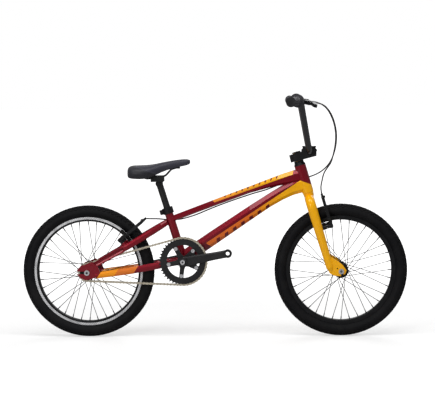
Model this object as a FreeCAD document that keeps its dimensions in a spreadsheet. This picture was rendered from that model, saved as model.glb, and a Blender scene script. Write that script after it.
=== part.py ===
import FreeCAD, Part
import math
import os
import Sketcher
from FreeCAD import Placement, Rotation, Vector

# A 20 inch bmx bike, in millimetres. X points forward, Y to the rider's left and Z up.
# The origin is on the ground, half way between the two wheel axles.
# The drive side is the rider's right, so it lies at negative Y.

doc = FreeCAD.newDocument("BmxBike")
sheet = doc.addObject("Spreadsheet::Sheet", "Sizes")
subparts = []


class Size(float):
    """A number that knows the sheet cells it is worked out from."""

    def __new__(cls, value, formula):
        number = float.__new__(cls, value)
        number.formula = formula
        return number

    def __add__(self, other):
        return Size(float(self) + float(other), joined(self, "+", other))

    def __radd__(self, other):
        return Size(float(other) + float(self), joined(other, "+", self))

    def __sub__(self, other):
        return Size(float(self) - float(other), joined(self, "-", other))

    def __rsub__(self, other):
        return Size(float(other) - float(self), joined(other, "-", self))

    def __mul__(self, other):
        return Size(float(self) * float(other), joined(self, "*", other))

    def __rmul__(self, other):
        return Size(float(other) * float(self), joined(other, "*", self))

    def __truediv__(self, other):
        return Size(float(self) / float(other), joined(self, "/", other))

    def __neg__(self):
        return Size(-float(self), "(-1 * " + self.formula + ")")


def joined(left, sign, right):
    texts = [n.formula if isinstance(n, Size) else repr(float(n)) for n in (left, right)]
    return "(" + texts[0] + " " + sign + " " + texts[1] + ")"


def size(alias, value):
    """Keep one dimension in the sheet under a name of its own."""
    row = str(len(sheet.getUsedCells()) // 2 + 1)
    sheet.set("A" + row, alias)
    sheet.set("B" + row, str(float(value)))
    sheet.setAlias("B" + row, alias)
    return Size(value, "Sizes." + alias)


def bind(obj, prop, value):
    setattr(obj, prop, float(value))
    if isinstance(value, Size):
        obj.setExpression(prop, value.formula)


def numbered(name):
    return name + "_" + str(len(doc.Objects))


def turned_to(axis):
    return Rotation(Vector(0, 0, 1), Vector(axis))


# ---------------------------------------------------------------- ways of making a piece

def cylinder(radius, length, at, axis):
    obj = doc.addObject("Part::Cylinder", numbered("Cylinder"))
    bind(obj, "Radius", radius)
    bind(obj, "Height", length)
    obj.Placement = Placement(Vector(at), turned_to(axis))
    return obj


def cylinder_about(radius, length, middle, axis):
    """A cylinder whose middle is at the given point."""
    half = Vector(axis).normalize() * (float(length) / 2)
    return cylinder(radius, length, Vector(middle) - half, axis)


def cone(foot_radius, top_radius, length, at, axis):
    obj = doc.addObject("Part::Cone", numbered("Cone"))
    bind(obj, "Radius1", foot_radius)
    bind(obj, "Radius2", top_radius)
    bind(obj, "Height", length)
    obj.Placement = Placement(Vector(at), turned_to(axis))
    return obj


def torus(ring_radius, tube_radius, middle, axis):
    obj = doc.addObject("Part::Torus", numbered("Torus"))
    bind(obj, "Radius1", ring_radius)
    bind(obj, "Radius2", tube_radius)
    obj.Placement = Placement(Vector(middle), turned_to(axis))
    return obj


def block(lengths, middle, rotation=Rotation()):
    """A box centred on a point and turned about it."""
    obj = doc.addObject("Part::Box", numbered("Box"))
    for prop, length in zip(("Length", "Width", "Height"), lengths):
        bind(obj, prop, length)
    corner = Vector(*[float(n) / 2 for n in lengths])
    obj.Placement = Placement(Vector(middle) - rotation.multVec(corner), rotation)
    return obj


def fuse(*pieces):
    obj = doc.addObject("Part::MultiFuse", numbered("Fuse"))
    obj.Shapes = list(pieces)
    return obj


def cut(base, *tools):
    obj = doc.addObject("Part::Cut", numbered("Cut"))
    obj.Base = base
    obj.Tool = tools[0] if len(tools) == 1 else fuse(*tools)
    return obj


def common(first, second):
    obj = doc.addObject("Part::Common", numbered("Common"))
    obj.Base = first
    obj.Tool = second
    return obj


def group(pieces):
    """Several solids that share one node and stay separate."""
    obj = doc.addObject("Part::Compound", numbered("Group"))
    obj.Links = list(pieces)
    return obj


def ring(outer, inner, length, middle, axis):
    shell = cylinder_about(outer, length, middle, axis)
    return cut(shell, cylinder_about(inner, length + 2, middle, axis))


def shaped(name, shape):
    obj = doc.addObject("Part::Feature", numbered(name))
    obj.Shape = shape
    obj.Placement = Placement()
    return obj


def closed_sketch(body, points):
    """A closed outline of straight edges, each corner held by two dimensions."""
    sketch = body.newObject("Sketcher::SketchObject", numbered("Outline"))
    plane = next(f for f in body.Origin.OriginFeatures if f.Role == "XY_Plane")
    sketch.AttachmentSupport = [(plane, "")]
    sketch.MapMode = "FlatFace"
    spots = [Vector(float(x), float(y), 0) for x, y in points]
    sketch.addGeometry([Part.LineSegment(a, b) for a, b in zip(spots, spots[1:] + spots[:1])], False)
    for i in range(len(spots)):
        sketch.addConstraint(Sketcher.Constraint("Coincident", i, 2, (i + 1) % len(spots), 1))
    for i, corner in enumerate(points):
        for kind, axis, number in (("DistanceX", -2, corner[0]), ("DistanceY", -1, corner[1])):
            if abs(float(number)) < 1e-9:
                sketch.addConstraint(Sketcher.Constraint("PointOnObject", i, 1, axis))
                continue
            index = sketch.addConstraint(Sketcher.Constraint(kind, -1, 1, i, 1, float(number)))
            if isinstance(number, Size):
                sketch.setExpression("Constraints[" + str(index) + "]", number.formula)
    return sketch


def turned(name, points, middle):
    """A body turned about the Y axis through a point; points are (radius, y) pairs."""
    body = doc.addObject("PartDesign::Body", numbered(name))
    sketch = closed_sketch(body, points)
    turn = body.newObject("PartDesign::Revolution", numbered("Turned"))
    turn.Profile = sketch
    turn.ReferenceAxis = (sketch, ["V_Axis"])
    turn.Angle = 360
    body.Placement = Placement(Vector(middle), Rotation())
    return body


def plate(name, points, thickness, placement, midplane=False):
    """A flat outline padded to a thickness along its own Z."""
    body = doc.addObject("PartDesign::Body", numbered(name))
    sketch = closed_sketch(body, points)
    pad = body.newObject("PartDesign::Pad", numbered("Padded"))
    pad.Profile = sketch
    bind(pad, "Length", thickness)
    pad.Midplane = midplane
    body.Placement = placement
    return body


def upright(y):
    """Turns an outline drawn in X and Z onto the plane at this Y, padding towards the right."""
    return Placement(Vector(0, float(y), 0), Rotation(Vector(1, 0, 0), 90))


def rounded_path(points, share=0.45, radius=None):
    """Straight runs joined by tangent arcs, with the radius that each corner allows."""
    spots = [Vector(p) for p in points]
    edges = []
    radii = []
    start = spots[0]
    for before, corner, after in zip(spots, spots[1:], spots[2:]):
        back = (before - corner).normalize()
        ahead = (after - corner).normalize()
        half_turn = (math.pi - back.getAngle(ahead)) / 2
        shorter = min(before.distanceToPoint(corner), corner.distanceToPoint(after))
        bend = radius or share * shorter / math.tan(half_turn)
        reach = bend * math.tan(half_turn)
        first = corner + back * reach
        last = corner + ahead * reach
        middle = corner + (back + ahead).normalize() * (bend / math.cos(half_turn) - bend)
        edges.append(Part.LineSegment(start, first).toShape())
        edges.append(Part.Arc(first, middle, last).toShape())
        radii.append(round(bend, 1))
        start = last
    edges.append(Part.LineSegment(start, spots[-1]).toShape())
    return Part.Wire(edges), radii


def rod(points, tube_radius, radius=None):
    """A round bar along a rounded path."""
    path, radii = rounded_path(points, radius=radius)
    start = Vector(points[0])
    along = (Vector(points[1]) - start).normalize()
    circle = Part.Wire(Part.makeCircle(float(tube_radius), start, along))
    shape = path.makePipeShell([circle], True, False)
    expected = math.pi * float(tube_radius) ** 2 * path.Length
    if not shape.isValid() or abs(shape.Volume / expected - 1) > 0.01:
        raise ValueError("the bar from " + str(points[0]) + " has the wrong volume")
    return shape, path.Length, radii


def bar(name, points, tube_radius, radius=None):
    return shaped(name, rod(points, tube_radius, radius)[0])


def lofted(name, sections):
    """A solid through closed outlines of straight edges."""
    wires = [Part.makePolygon([Vector(p) for p in s] + [Vector(s[0])]) for s in sections]
    return shaped(name, Part.makeLoft(wires, True, True))


def subpart(label, obj):
    obj.Label = label
    subparts.append(obj)
    return obj


def both(make):
    """The right piece and the left piece of a pair."""
    return [make(-1), make(1)]


UP = Vector(0, 0, 1)
LEFT = Vector(0, 1, 0)

# ---------------------------------------------------------------- driving dimensions

tyre_radius = size("TyreRadius", 250)
tyre_section = size("TyreSectionRadius", 23.75)
tyre_wall = size("TyreWall", 3)
wheelbase = size("Wheelbase", 954.4)
rim_top = size("RimOuterRadius", 206.3)
rim_foot = size("RimInnerRadius", 190)
rim_half = size("RimHalfWidth", 12.5)
rim_wall = size("RimWall", 1.8)
spoke_radius = size("SpokeRadius", 1.15)
flange_radius = size("HubFlangeRadius", 28)
flange_holes = size("HubHoleCircle", 24)
flange_half = size("HubFlangeHalfThickness", 1.4)
axle_radius = size("AxleRadius", 5)
axle_end_radius = size("AxleEndRadius", 10)
running_gap = size("RunningGap", 0.05)

head_angle = math.radians(16.25)
fork_offset = size("ForkOffset", 34.4)
head_bottom = size("HeadTubeBottom", 316.5)
head_length = size("HeadTubeLength", 105.5)
head_radius = size("HeadTubeRadius", 21.5)
head_bore = size("HeadTubeBore", 17)
steerer_radius = size("SteererRadius", 14.3)

seat_angle = math.radians(17)
seat_tube_radius = size("SeatTubeRadius", 15.9)
post_radius = size("SeatPostRadius", 12.7)

bottom_bracket_height = size("BottomBracketHeight", 289.5)
shell_radius = size("BottomBracketShellRadius", 22)
shell_half = size("BottomBracketShellHalfWidth", 35)
spindle_radius = size("SpindleRadius", 9.5)
crank_length = size("CrankLength", 172.5)
crank_lift = math.radians(10.9)
chain_line = size("ChainLine", 46)
chain_pitch = 12.7
ring_teeth = 44
freewheel_teeth = 16
bolt_circle = size("ChainringBoltCircle", 55)

rear_spacing = size("RearDropoutInside", 55)
front_spacing = size("FrontDropoutInside", 50)
dropout_thickness = size("DropoutThickness", 6)

# ---------------------------------------------------------------- worked out places

rear_axle_at = Vector(-wheelbase / 2, 0, tyre_radius)
front_axle_at = Vector(wheelbase / 2, 0, tyre_radius)

# The chain is a closed loop of whole links: 25 chords on the chainring, 7 on the
# freewheel and two straight runs of 28 links, which fixes the chainstay length.
ring_chords = 25
freewheel_chords = 7
run_links = 28
ring_pitch_radius = chain_pitch / 2 / math.sin(math.pi / ring_teeth)
freewheel_pitch_radius = chain_pitch / 2 / math.sin(math.pi / freewheel_teeth)
ring_leave = ring_chords * math.pi / ring_teeth
freewheel_leave = math.pi - freewheel_chords * math.pi / freewheel_teeth
run_rise = (ring_pitch_radius * math.sin(ring_leave)
            - freewheel_pitch_radius * math.sin(freewheel_leave))
run_reach = math.sqrt((run_links * chain_pitch) ** 2 - run_rise ** 2)
centre_distance = (run_reach - ring_pitch_radius * math.cos(ring_leave)
                   + freewheel_pitch_radius * math.cos(freewheel_leave))
drop = float(bottom_bracket_height) - float(tyre_radius)
crank_axis_x = rear_axle_at.x + math.sqrt(centre_distance ** 2 - drop ** 2)
crank_axis_at = Vector(crank_axis_x, 0, float(bottom_bracket_height))

steer_up = Vector(-math.sin(head_angle), 0, math.cos(head_angle))
steer_ahead = Vector(math.cos(head_angle), 0, math.sin(head_angle))
steer_foot = front_axle_at - steer_ahead * float(fork_offset)
seat_up = Vector(-math.sin(seat_angle), 0, math.cos(seat_angle))


def on_fork(ahead, side, up):
    """A point given along the fork's own directions."""
    return steer_foot + steer_ahead * float(ahead) + LEFT * float(side) + steer_up * float(up)


def on_seat_tube(up, ahead=0, side=0):
    across = Vector(math.cos(seat_angle), 0, math.sin(seat_angle))
    return crank_axis_at + seat_up * float(up) + across * float(ahead) + LEFT * float(side)


# ---------------------------------------------------------------- wheels

def tyre(middle):
    tube_ring = tyre_radius - tyre_section
    carcass = torus(tube_ring, tyre_section, middle, LEFT)
    air = torus(tube_ring, tyre_section - tyre_wall, middle, LEFT)
    seat = cylinder_about(rim_top + 0.2, 80, middle, LEFT)
    return cut(carcass, air, seat)


def inner_tube(middle):
    """A thin ring of rubber full of air."""
    tube_ring = tyre_radius - tyre_section
    skin = tyre_section - tyre_wall - 3
    return cut(torus(tube_ring, skin, middle, LEFT), torus(tube_ring, skin - 1.2, middle, LEFT))


def rim(middle):
    """A box section with a shallow well for the tyre between its two flanges."""
    well = rim_top - 7
    hook = rim_half - rim_wall
    bridge = rim_half - 2 * rim_wall
    channel = [(rim_foot + 3, -rim_half), (rim_foot, -rim_half + 3), (rim_foot, rim_half - 3),
               (rim_foot + 3, rim_half), (rim_top, rim_half), (rim_top, hook), (well, bridge),
               (well, -bridge), (rim_top, -hook), (rim_top, -rim_half)]
    hollow = [(rim_foot + rim_wall, -bridge + 2), (rim_foot + rim_wall, bridge - 2),
              (well - rim_wall, bridge - 1), (well - rim_wall, -bridge + 1)]
    return cut(turned("Rim", channel, middle), turned("RimHollow", hollow, middle))


def spoke(middle, flange, hub_angle, rim_angle, offset):
    """One spoke with its nipple, from the flange's face to the rim's inner wall."""
    side = 1 if flange > 0 else -1
    near = Vector(math.cos(hub_angle), 0, math.sin(hub_angle)) * float(flange_holes)
    near.y = flange + side * offset
    far = Vector(math.cos(rim_angle), 0, math.sin(rim_angle)) * (float(rim_foot) - 0.1)
    far.y = side * 1.5
    along = (far - near).normalize()
    length = near.distanceToPoint(far)
    wire = Part.makeCylinder(float(spoke_radius), length - 1, middle + near, along)
    nipple = Part.makeCylinder(1.9, 12, middle + near + along * (length - 12.4), along)
    return wire.fuse(nipple).removeSplitter()


def spokes(middle, flanges):
    """36 spokes, 3 cross: on each flange, half lie outside it and half inside."""
    made = []
    for shift, flange in zip((0, 10), flanges):
        for i in range(9):
            rim_angle = 40 * i + shift
            for rim_step, hub_step, offset in ((0, -60, float(flange_half) + 2.6),
                                               (20, 60, -float(flange_half) - 1.1)):
                end = math.radians(rim_angle + rim_step)
                start = math.radians(rim_angle + rim_step + hub_step)
                made.append(spoke(middle, flange, start, end, offset))
    return shaped("Spokes", Part.makeCompound(made))


def hub(middle, flanges, ends):
    """A hub shell with two flanges, bored for its bearings and axle."""
    barrel = 14
    right, left = flanges
    low, high = ends
    half = flange_half
    profile = [(11, low), (16, low), (16, right - half), (flange_radius, right - half),
               (flange_radius, right + half), (17, right + half), (barrel, right + 8),
               (barrel, left - 8), (17, left - half), (flange_radius, left - half),
               (flange_radius, left + half), (16, left + half), (16, high), (11, high)]
    return turned("Hub", profile, middle)


def hub_bearings(middle, ends):
    """Two ball races, pressed into the ends of the hub."""
    width = 9
    races = [Vector(middle) + LEFT * (end - math.copysign(width / 2 + 0.5, end)) for end in ends]
    return [ring(10.95, axle_radius + running_gap, width, race, LEFT) for race in races]


def axle(middle, inside):
    """An axle with cone lock nuts inside the dropouts and socket nuts outside."""
    shaft = cylinder_about(axle_radius, 2 * inside + 2 * dropout_thickness + 4, middle, LEFT)
    pieces = [shaft]
    for side in (-1, 1):
        lock_nut = middle + LEFT * (side * (float(inside) - 3.6))
        pieces.append(cylinder_about(8.5, 6, lock_nut, LEFT))
        face = middle + LEFT * (side * (float(inside) + float(dropout_thickness) + 0.1))
        nut = cylinder(axle_end_radius, 6, face, LEFT * side)
        socket = cylinder(4.5, 5, face + LEFT * (side * 3), LEFT * side)
        pieces.append(cut(nut, socket))
    return fuse(*pieces)


front_flanges = (-30.0, 30.0)
rear_flanges = (-27.0, 31.0)
front_ends = (-42.0, 42.0)
rear_ends = (-44.0, 44.0)
for name, middle, flanges, ends in (("front", front_axle_at, front_flanges, front_ends),
                                    ("rear", rear_axle_at, rear_flanges, rear_ends)):
    subpart(name + "_tyre", tyre(middle))
    subpart(name + "_inner_tube", inner_tube(middle))
    subpart(name + "_rim", rim(middle))
    subpart(name + "_spokes", spokes(middle, flanges))
    subpart(name + "_hub", group([hub(middle, flanges, ends)] + hub_bearings(middle, ends)))
subpart("front_axle", axle(front_axle_at, front_spacing))
subpart("rear_axle", axle(rear_axle_at, rear_spacing))

# ---------------------------------------------------------------- chain and sprockets

def toothed_outline(teeth, pitch_radius, phase):
    """Roller seats joined by straight flanks and short tips."""
    seat = 4.0
    opening = math.radians(62)
    tip = pitch_radius + 3.1
    step = 2 * math.pi / teeth
    tip_half = 0.7 / tip
    edges = []
    corner = None
    first = None
    for i in range(teeth):
        angle = phase + i * step
        centre = Vector(math.cos(angle), 0, math.sin(angle)) * pitch_radius
        spots = []
        for turn in (opening, 0, -opening):
            inward = angle + math.pi + turn
            spots.append(centre + Vector(math.cos(inward), 0, math.sin(inward)) * seat)
        tips = []
        for turn in (step / 2 - tip_half, step / 2 + tip_half):
            tips.append(Vector(math.cos(angle + turn), 0, math.sin(angle + turn)) * tip)
        if corner is None:
            first = spots[0]
        else:
            edges.append(Part.LineSegment(corner, spots[0]).toShape())
        edges.append(Part.Arc(*spots).toShape())
        edges.append(Part.LineSegment(spots[2], tips[0]).toShape())
        edges.append(Part.LineSegment(tips[0], tips[1]).toShape())
        corner = tips[1]
    edges.append(Part.LineSegment(corner, first).toShape())
    return Part.Wire(edges)


def sprocket(teeth, pitch_radius, phase, middle, thickness):
    outline = shaped("Teeth", toothed_outline(teeth, pitch_radius, phase))
    body = doc.addObject("Part::Extrusion", numbered("Sprocket"))
    body.Base = outline
    body.DirMode = "Custom"
    body.Dir = LEFT
    bind(body, "LengthFwd", thickness)
    body.Solid = True
    body.Placement = Placement(Vector(middle) - LEFT * (float(thickness) / 2), Rotation())
    return body


centre_tilt = math.atan2(drop, crank_axis_x - rear_axle_at.x)
tooth_thickness = size("SprocketThickness", 2.8)
drive_line = LEFT * -float(chain_line)
ring_middle = crank_axis_at + drive_line
freewheel_middle = rear_axle_at + drive_line
ring_phase = centre_tilt + math.pi / ring_teeth
freewheel_phase = centre_tilt + math.pi + math.pi / freewheel_teeth


def chain_pins():
    """The pin centres of the closed chain, going round from the chainring's top run."""
    ring_step = 2 * math.pi / ring_teeth
    freewheel_step = 2 * math.pi / freewheel_teeth
    pins = []
    for i in range(ring_chords + 1):
        angle = centre_tilt + ring_leave - i * ring_step
        pins.append(ring_middle + Vector(math.cos(angle), 0, math.sin(angle)) * ring_pitch_radius)
    last = pins[-1]
    wrap = []
    for i in range(freewheel_chords + 1):
        angle = centre_tilt - freewheel_leave - i * freewheel_step
        way = Vector(math.cos(angle), 0, math.sin(angle))
        wrap.append(freewheel_middle + way * freewheel_pitch_radius)
    for i in range(1, run_links):
        pins.append(last + (wrap[0] - last) * (i / run_links))
    pins.extend(wrap)
    for i in range(1, run_links):
        pins.append(wrap[-1] + (pins[0] - wrap[-1]) * (i / run_links))
    return pins


def link_plate(middle_y, half_thickness):
    """A figure-of-eight side plate round two pins, one at the origin and one along X."""
    low = middle_y - half_thickness
    ends = [Part.makeCylinder(4.2, 2 * half_thickness, Vector(x, low, 0), LEFT) for x in (0, chain_pitch)]
    waist = Part.makeBox(chain_pitch, 2 * half_thickness, 6, Vector(0, low, -3))
    return ends[0].fuse([ends[1], waist]).removeSplitter()


def chain_link(outer):
    plate_y = 3.35 if outer else 2.25
    shape = link_plate(plate_y, 0.5).fuse(link_plate(-plate_y, 0.5))
    for x in (0, chain_pitch):
        if outer:
            shape = shape.fuse(Part.makeCylinder(1.8, 8.6, Vector(x, -4.3, 0), LEFT))
        else:
            shape = shape.fuse(Part.makeCylinder(3.85, 3.6, Vector(x, -1.8, 0), LEFT))
            shape = shape.cut(Part.makeCylinder(1.85, 8, Vector(x, -4, 0), LEFT))
    return shape.removeSplitter()


def chain():
    pins = chain_pins()
    kinds = [chain_link(False), chain_link(True)]
    links = []
    for i, pin in enumerate(pins):
        ahead = pins[(i + 1) % len(pins)] - pin
        turn = Rotation(LEFT, -math.degrees(math.atan2(ahead.z, ahead.x)))
        link = kinds[i % 2].copy()
        link.Placement = Placement(pin, turn)
        links.append(link)
    return shaped("Chain", Part.makeCompound(links))


subpart("chain", chain())

freewheel_body = cylinder_about(22, 12, freewheel_middle + LEFT * 4, LEFT)
freewheel_bore = cylinder_about(16.3, 40, freewheel_middle, LEFT)
freewheel_disc = sprocket(freewheel_teeth, freewheel_pitch_radius, freewheel_phase,
                          freewheel_middle, tooth_thickness)
subpart("freewheel", cut(fuse(freewheel_disc, freewheel_body), freewheel_bore))

# ---------------------------------------------------------------- cranks

spider_y = size("SpiderFace", 47.6)
spider_thickness = size("SpiderThickness", 5)
boss_radius = size("CrankBossRadius", 17)
pedal_hole = size("PedalHoleRadius", 7.1)
arm_thickness = size("CrankArmThickness", 13)
pedal_face = size("PedalEndMiddle", 79)
arm_start = size("CrankArmStart", 62)

crank_way = Vector(math.cos(crank_lift), 0, math.sin(crank_lift))
spider_turn = math.radians(46.8)
bolt_ways = [Vector(math.cos(spider_turn + i * 2 * math.pi / 5), 0,
                    math.sin(spider_turn + i * 2 * math.pi / 5)) for i in range(5)]


def chainring():
    """A toothed ring with a lightened web and five bolt tabs."""
    disc = sprocket(ring_teeth, ring_pitch_radius, ring_phase, ring_middle, tooth_thickness)
    window = cylinder_about(bolt_circle + 7, 10, ring_middle, LEFT)
    rim_ring = cut(disc, window)
    tabs = []
    for way in bolt_ways:
        at = ring_middle + way * float(bolt_circle)
        tab = fuse(cylinder_about(8.5, tooth_thickness, at, LEFT),
                   block((17, tooth_thickness, 12), at + way * 7,
                         Rotation(LEFT, 90 - math.degrees(math.atan2(way.z, way.x)))))
        tabs.append(tab)
    holes = [cylinder_about(5.1, 10, ring_middle + way * float(bolt_circle), LEFT) for way in bolt_ways]
    return cut(fuse(rim_ring, *tabs), *holes)


def chainring_bolts():
    made = []
    for way in bolt_ways:
        at = crank_axis_at + way * float(bolt_circle)
        shank = cylinder(5, 9.2, at - LEFT * 53.4, LEFT)
        head = cylinder(7, 1.6, at - LEFT * 54.3, LEFT)
        nut = cylinder(7, 1.5, at - LEFT * 44.5, LEFT)
        socket = cylinder(3, 3, at - LEFT * 55, LEFT)
        made.append(cut(fuse(shank, head, nut), socket))
    return group(made)


def crank_arm(side, way):
    """A forged arm that leans outwards from its boss to the pedal eye."""
    along = Vector(way)
    boss = cylinder(boss_radius, 36, crank_axis_at + LEFT * (side * 40), LEFT * side)
    root = crank_axis_at + LEFT * (side * float(arm_start))
    eye_at = crank_axis_at + along * float(crank_length) + LEFT * (side * float(pedal_face))
    across = along.cross(LEFT)
    half = float(arm_thickness) / 2
    sections = []
    for share, wide in ((0.02, 18), (0.35, 16.5), (0.72, 14.5), (1, 14.2)):
        centre = root + (eye_at - root) * share
        corners = ((1, 0.55), (0.72, 1), (-0.72, 1), (-1, 0.55), (-1, -0.55), (-0.72, -1), (0.72, -1), (1, -0.55))
        sections.append([centre + across * (wide * x) + LEFT * (half * y) for x, y in corners])
    beam = lofted("ArmBeam", sections)
    eye = cylinder_about(16, arm_thickness, eye_at, LEFT)
    solids = [boss, beam, eye]
    if side < 0:
        solids.extend(spider())
    pedal_bore = cylinder_about(pedal_hole, 40, eye_at, LEFT)
    bore = cylinder_about(spindle_radius + 0.02, 200, crank_axis_at, LEFT)
    holes = [cylinder_about(5.05, 30, crank_axis_at + w * float(bolt_circle) - LEFT * 50, LEFT)
             for w in bolt_ways if side < 0]
    return cut(fuse(*solids), pedal_bore, bore, *holes)


def spider():
    """Five arms that carry the chainring, each tapering to a bolt eye."""
    tip = float(bolt_circle)
    web = [way * reach for way, reach in ((crank_way, -4), (bolt_ways[0], tip), (crank_way, tip + 2),
                                          (bolt_ways[4], tip))]
    web_face = [crank_axis_at + p - LEFT * float(spider_y) for p in web]
    made = [cylinder(boss_radius + 4, spider_thickness, crank_axis_at - LEFT * float(spider_y), -LEFT),
            lofted("SpiderWeb", [web_face, [p - LEFT * float(spider_thickness) for p in web_face]])]
    for way in bolt_ways:
        across = way.cross(LEFT)
        outline = [way * 8 + across * 16, way * 26 + across * 9, way * tip + across * 7.8,
                   way * tip - across * 7.8, way * 26 - across * 9, way * 8 - across * 16]
        face = [crank_axis_at + p - LEFT * float(spider_y) for p in outline]
        back = [p - LEFT * float(spider_thickness) for p in face]
        arm = lofted("SpiderArm", [face, back])
        made.append(arm)
        made.append(cylinder(8.5, spider_thickness, crank_axis_at + way * tip - LEFT * float(spider_y), -LEFT))
    return made


subpart("chainring", chainring())
subpart("chainring_bolts", chainring_bolts())
subpart("crank_arm_right", crank_arm(-1, crank_way))
subpart("crank_arm_left", crank_arm(1, -crank_way))
spindle = cylinder_about(spindle_radius, 150, crank_axis_at, LEFT)
crank_bolts = [cylinder(12.5, 3, crank_axis_at + LEFT * (side * 76.1), LEFT * side) for side in (-1, 1)]
bolt_sockets = [cylinder(4.2, 8, crank_axis_at + LEFT * (side * 72), LEFT * side) for side in (-1, 1)]
shanks = [cylinder_about(8, 8, crank_axis_at + LEFT * (side * 74), LEFT) for side in (-1, 1)]
subpart("crank_spindle", cut(fuse(spindle, *crank_bolts, *shanks), *bolt_sockets))

# ---------------------------------------------------------------- frame

bottom_bracket = ring(shell_radius, 18, shell_half * 2, crank_axis_at, LEFT)
subpart("bottom_bracket_shell", bottom_bracket)
shell_solid = cylinder_about(shell_radius, shell_half * 2 + 12, crank_axis_at, LEFT)
cups = [ring(17.95, spindle_radius + running_gap, 12,
             crank_axis_at + LEFT * (side * 28), LEFT) for side in (-1, 1)]
lips = [ring(20.5, spindle_radius + running_gap, 3,
             crank_axis_at + LEFT * (side * (float(shell_half) + 1.55)), LEFT) for side in (-1, 1)]
subpart("bottom_bracket_bearings", group(cups + lips))

head_middle = on_fork(0, 0, head_bottom + head_length / 2)
subpart("head_tube", ring(head_radius, head_bore, head_length, head_middle, steer_up))
head_solid = cylinder_about(head_radius, head_length + 1, head_middle, steer_up)
race_height = 12
races = [on_fork(0, 0, float(head_bottom) + race_height / 2),
         on_fork(0, 0, float(head_bottom) + float(head_length) - race_height / 2)]
subpart("headset_bearings", group(
    [ring(head_bore - 0.02, steerer_radius + running_gap, race_height, at, steer_up) for at in races]))

seat_length = size("SeatTubeLength", 206)
seat_wall = cylinder(seat_tube_radius, seat_length, crank_axis_at, seat_up)
seat_bore = cylinder(post_radius + running_gap, seat_length, on_seat_tube(26), seat_up)
subpart("seat_tube", cut(seat_wall, seat_bore, shell_solid))
seat_solid = cylinder(seat_tube_radius, seat_length + 6, crank_axis_at, seat_up)


def tube_section(x, top, bottom, half_width, shoulder=0.3):
    """An upright eight-sided section: a narrow flat top, shoulders and straight sides."""
    height = top - bottom
    low = bottom + height * 0.22
    high = top - height * shoulder
    flat = half_width * 0.45
    return [Vector(x, y, z) for y, z in (
        (-flat, top), (flat, top), (half_width, high), (half_width, low),
        (flat, bottom), (-flat, bottom), (-half_width, low), (-half_width, high))]


def tube_loft(name, stations, wall):
    """A hollow tube through upright sections, each (x, top, bottom, half width)."""
    inner = [(x, top - wall * 1.3, bottom + wall * 1.3, half - wall) for x, top, bottom, half in stations]
    shell = lofted(name, [tube_section(*station) for station in stations])
    bore = lofted(name + "Bore", [tube_section(*station) for station in inner])
    return shell, bore


tube_wall = size("FrameTubeWall", 1.8)
down_tube, down_bore = tube_loft("DownTube", [
    (-112, 331, 271, 21), (-16, 395.5, 334, 21), (136, 494.5, 438, 20), (212, 542, 489, 19.5),
    (262, 572, 517, 19), (300, 592, 534, 18.5), (345, 608, 546, 18)], tube_wall)
down_solid = cut(down_tube, head_solid, shell_solid, seat_solid)
subpart("down_tube", cut(down_solid, down_bore))

top_tube, top_bore = tube_loft("TopTube", [
    (-160, 457.5, 434.5, 14), (24, 526, 502.5, 15), (137, 567.6, 542.5, 16), (215, 597, 564, 17),
    (262, 614, 572, 17.5), (332, 636, 582, 18)], tube_wall)
subpart("top_tube", cut(top_tube, head_solid, seat_solid, down_solid, top_bore))


def stay_section(at, tall, wide, lean):
    """An upright oval section of a stay, drawn with twelve straight edges."""
    made = []
    for i in range(12):
        angle = math.pi * (i + 0.5) / 6
        upward = math.sin(angle) * tall / 2
        made.append(Vector(at[0] - upward * math.sin(lean), at[1] + math.cos(angle) * wide / 2,
                           at[2] + upward * math.cos(lean)))
    return made


def dropout(side):
    """A plate with a slot that opens to the rear for the axle."""
    outline = [(-514, 262), (-500, 277), (-484, 281), (-458, 292), (-436, 272), (-428, 254),
               (-434, 236), (-462, 226), (-484, 222), (-504, 232), (-516, 244)]
    outer = side * (float(rear_spacing) + float(dropout_thickness) / 2)
    blank = plate("Dropout", outline, dropout_thickness, upright(outer), midplane=True)
    slot = block((46, 20, 2 * axle_radius + 0.2), rear_axle_at + Vector(-23, outer, 0))
    slot_end = cylinder_about(axle_radius + 0.1, 20, rear_axle_at + LEFT * outer, LEFT)
    return cut(blank, slot, slot_end)


dropouts = both(dropout)
subpart("rear_dropouts", group(dropouts))


def stay_loft(name, run, tilt, side):
    """A stay as a solid loft through oval sections, and the air inside it as a second loft."""
    lofts = []
    for wall in (0, float(tube_wall)):
        sections = [stay_section((at[0], side * at[1], at[2]), tall - 2 * wall, wide - 2 * wall, tilt)
                    for at, tall, wide in run]
        lofts.append(lofted(name, sections))
    return lofts


def chainstay(side, plates):
    run = [((-446, 56.5, 238.5), 22, 13), ((-392, 51, 245.5), 25, 15), ((-316, 44, 255), 26, 15.5),
           ((-222, 35, 271), 26, 15), ((-160, 30, 282), 26, 15), ((-112, 27, 290), 26, 15)]
    stay, air = stay_loft("Chainstay", run, math.radians(9), side)
    return cut(stay, shell_solid, plates, seat_solid), air


def seatstay(side, plates):
    run = [((-462, 58.8, 272), 19, 13), ((-400, 58.5, 305.5), 23, 14.5), ((-352, 56.5, 332), 24.5, 15),
           ((-314.6, 51, 353), 25, 15), ((-232, 37, 401.5), 25, 15), ((-196, 22, 423), 24, 14),
           ((-176, 7, 435), 22, 12)]
    stay, air = stay_loft("Seatstay", run, math.radians(29.5), side)
    middle = block((400, 60, 400), (-300, side * 30.05, 400))
    return cut(common(stay, middle), seat_solid, plates), air


lower_stays = [chainstay(side, dropouts[i]) for i, side in enumerate((-1, 1))]
subpart("chainstays", group([cut(stay, air) for stay, air in lower_stays]))
upper_stays = [seatstay(side, dropouts[i]) for i, side in enumerate((-1, 1))]
stays = [stay for stay, air in upper_stays]
bridge = cut(cylinder_about(7, 72, (-226, 0, 405), LEFT), *stays)
subpart("seatstays", group([cut(stay, air) for stay, air in upper_stays] + [bridge]))

# ---------------------------------------------------------------- rim brakes

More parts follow.
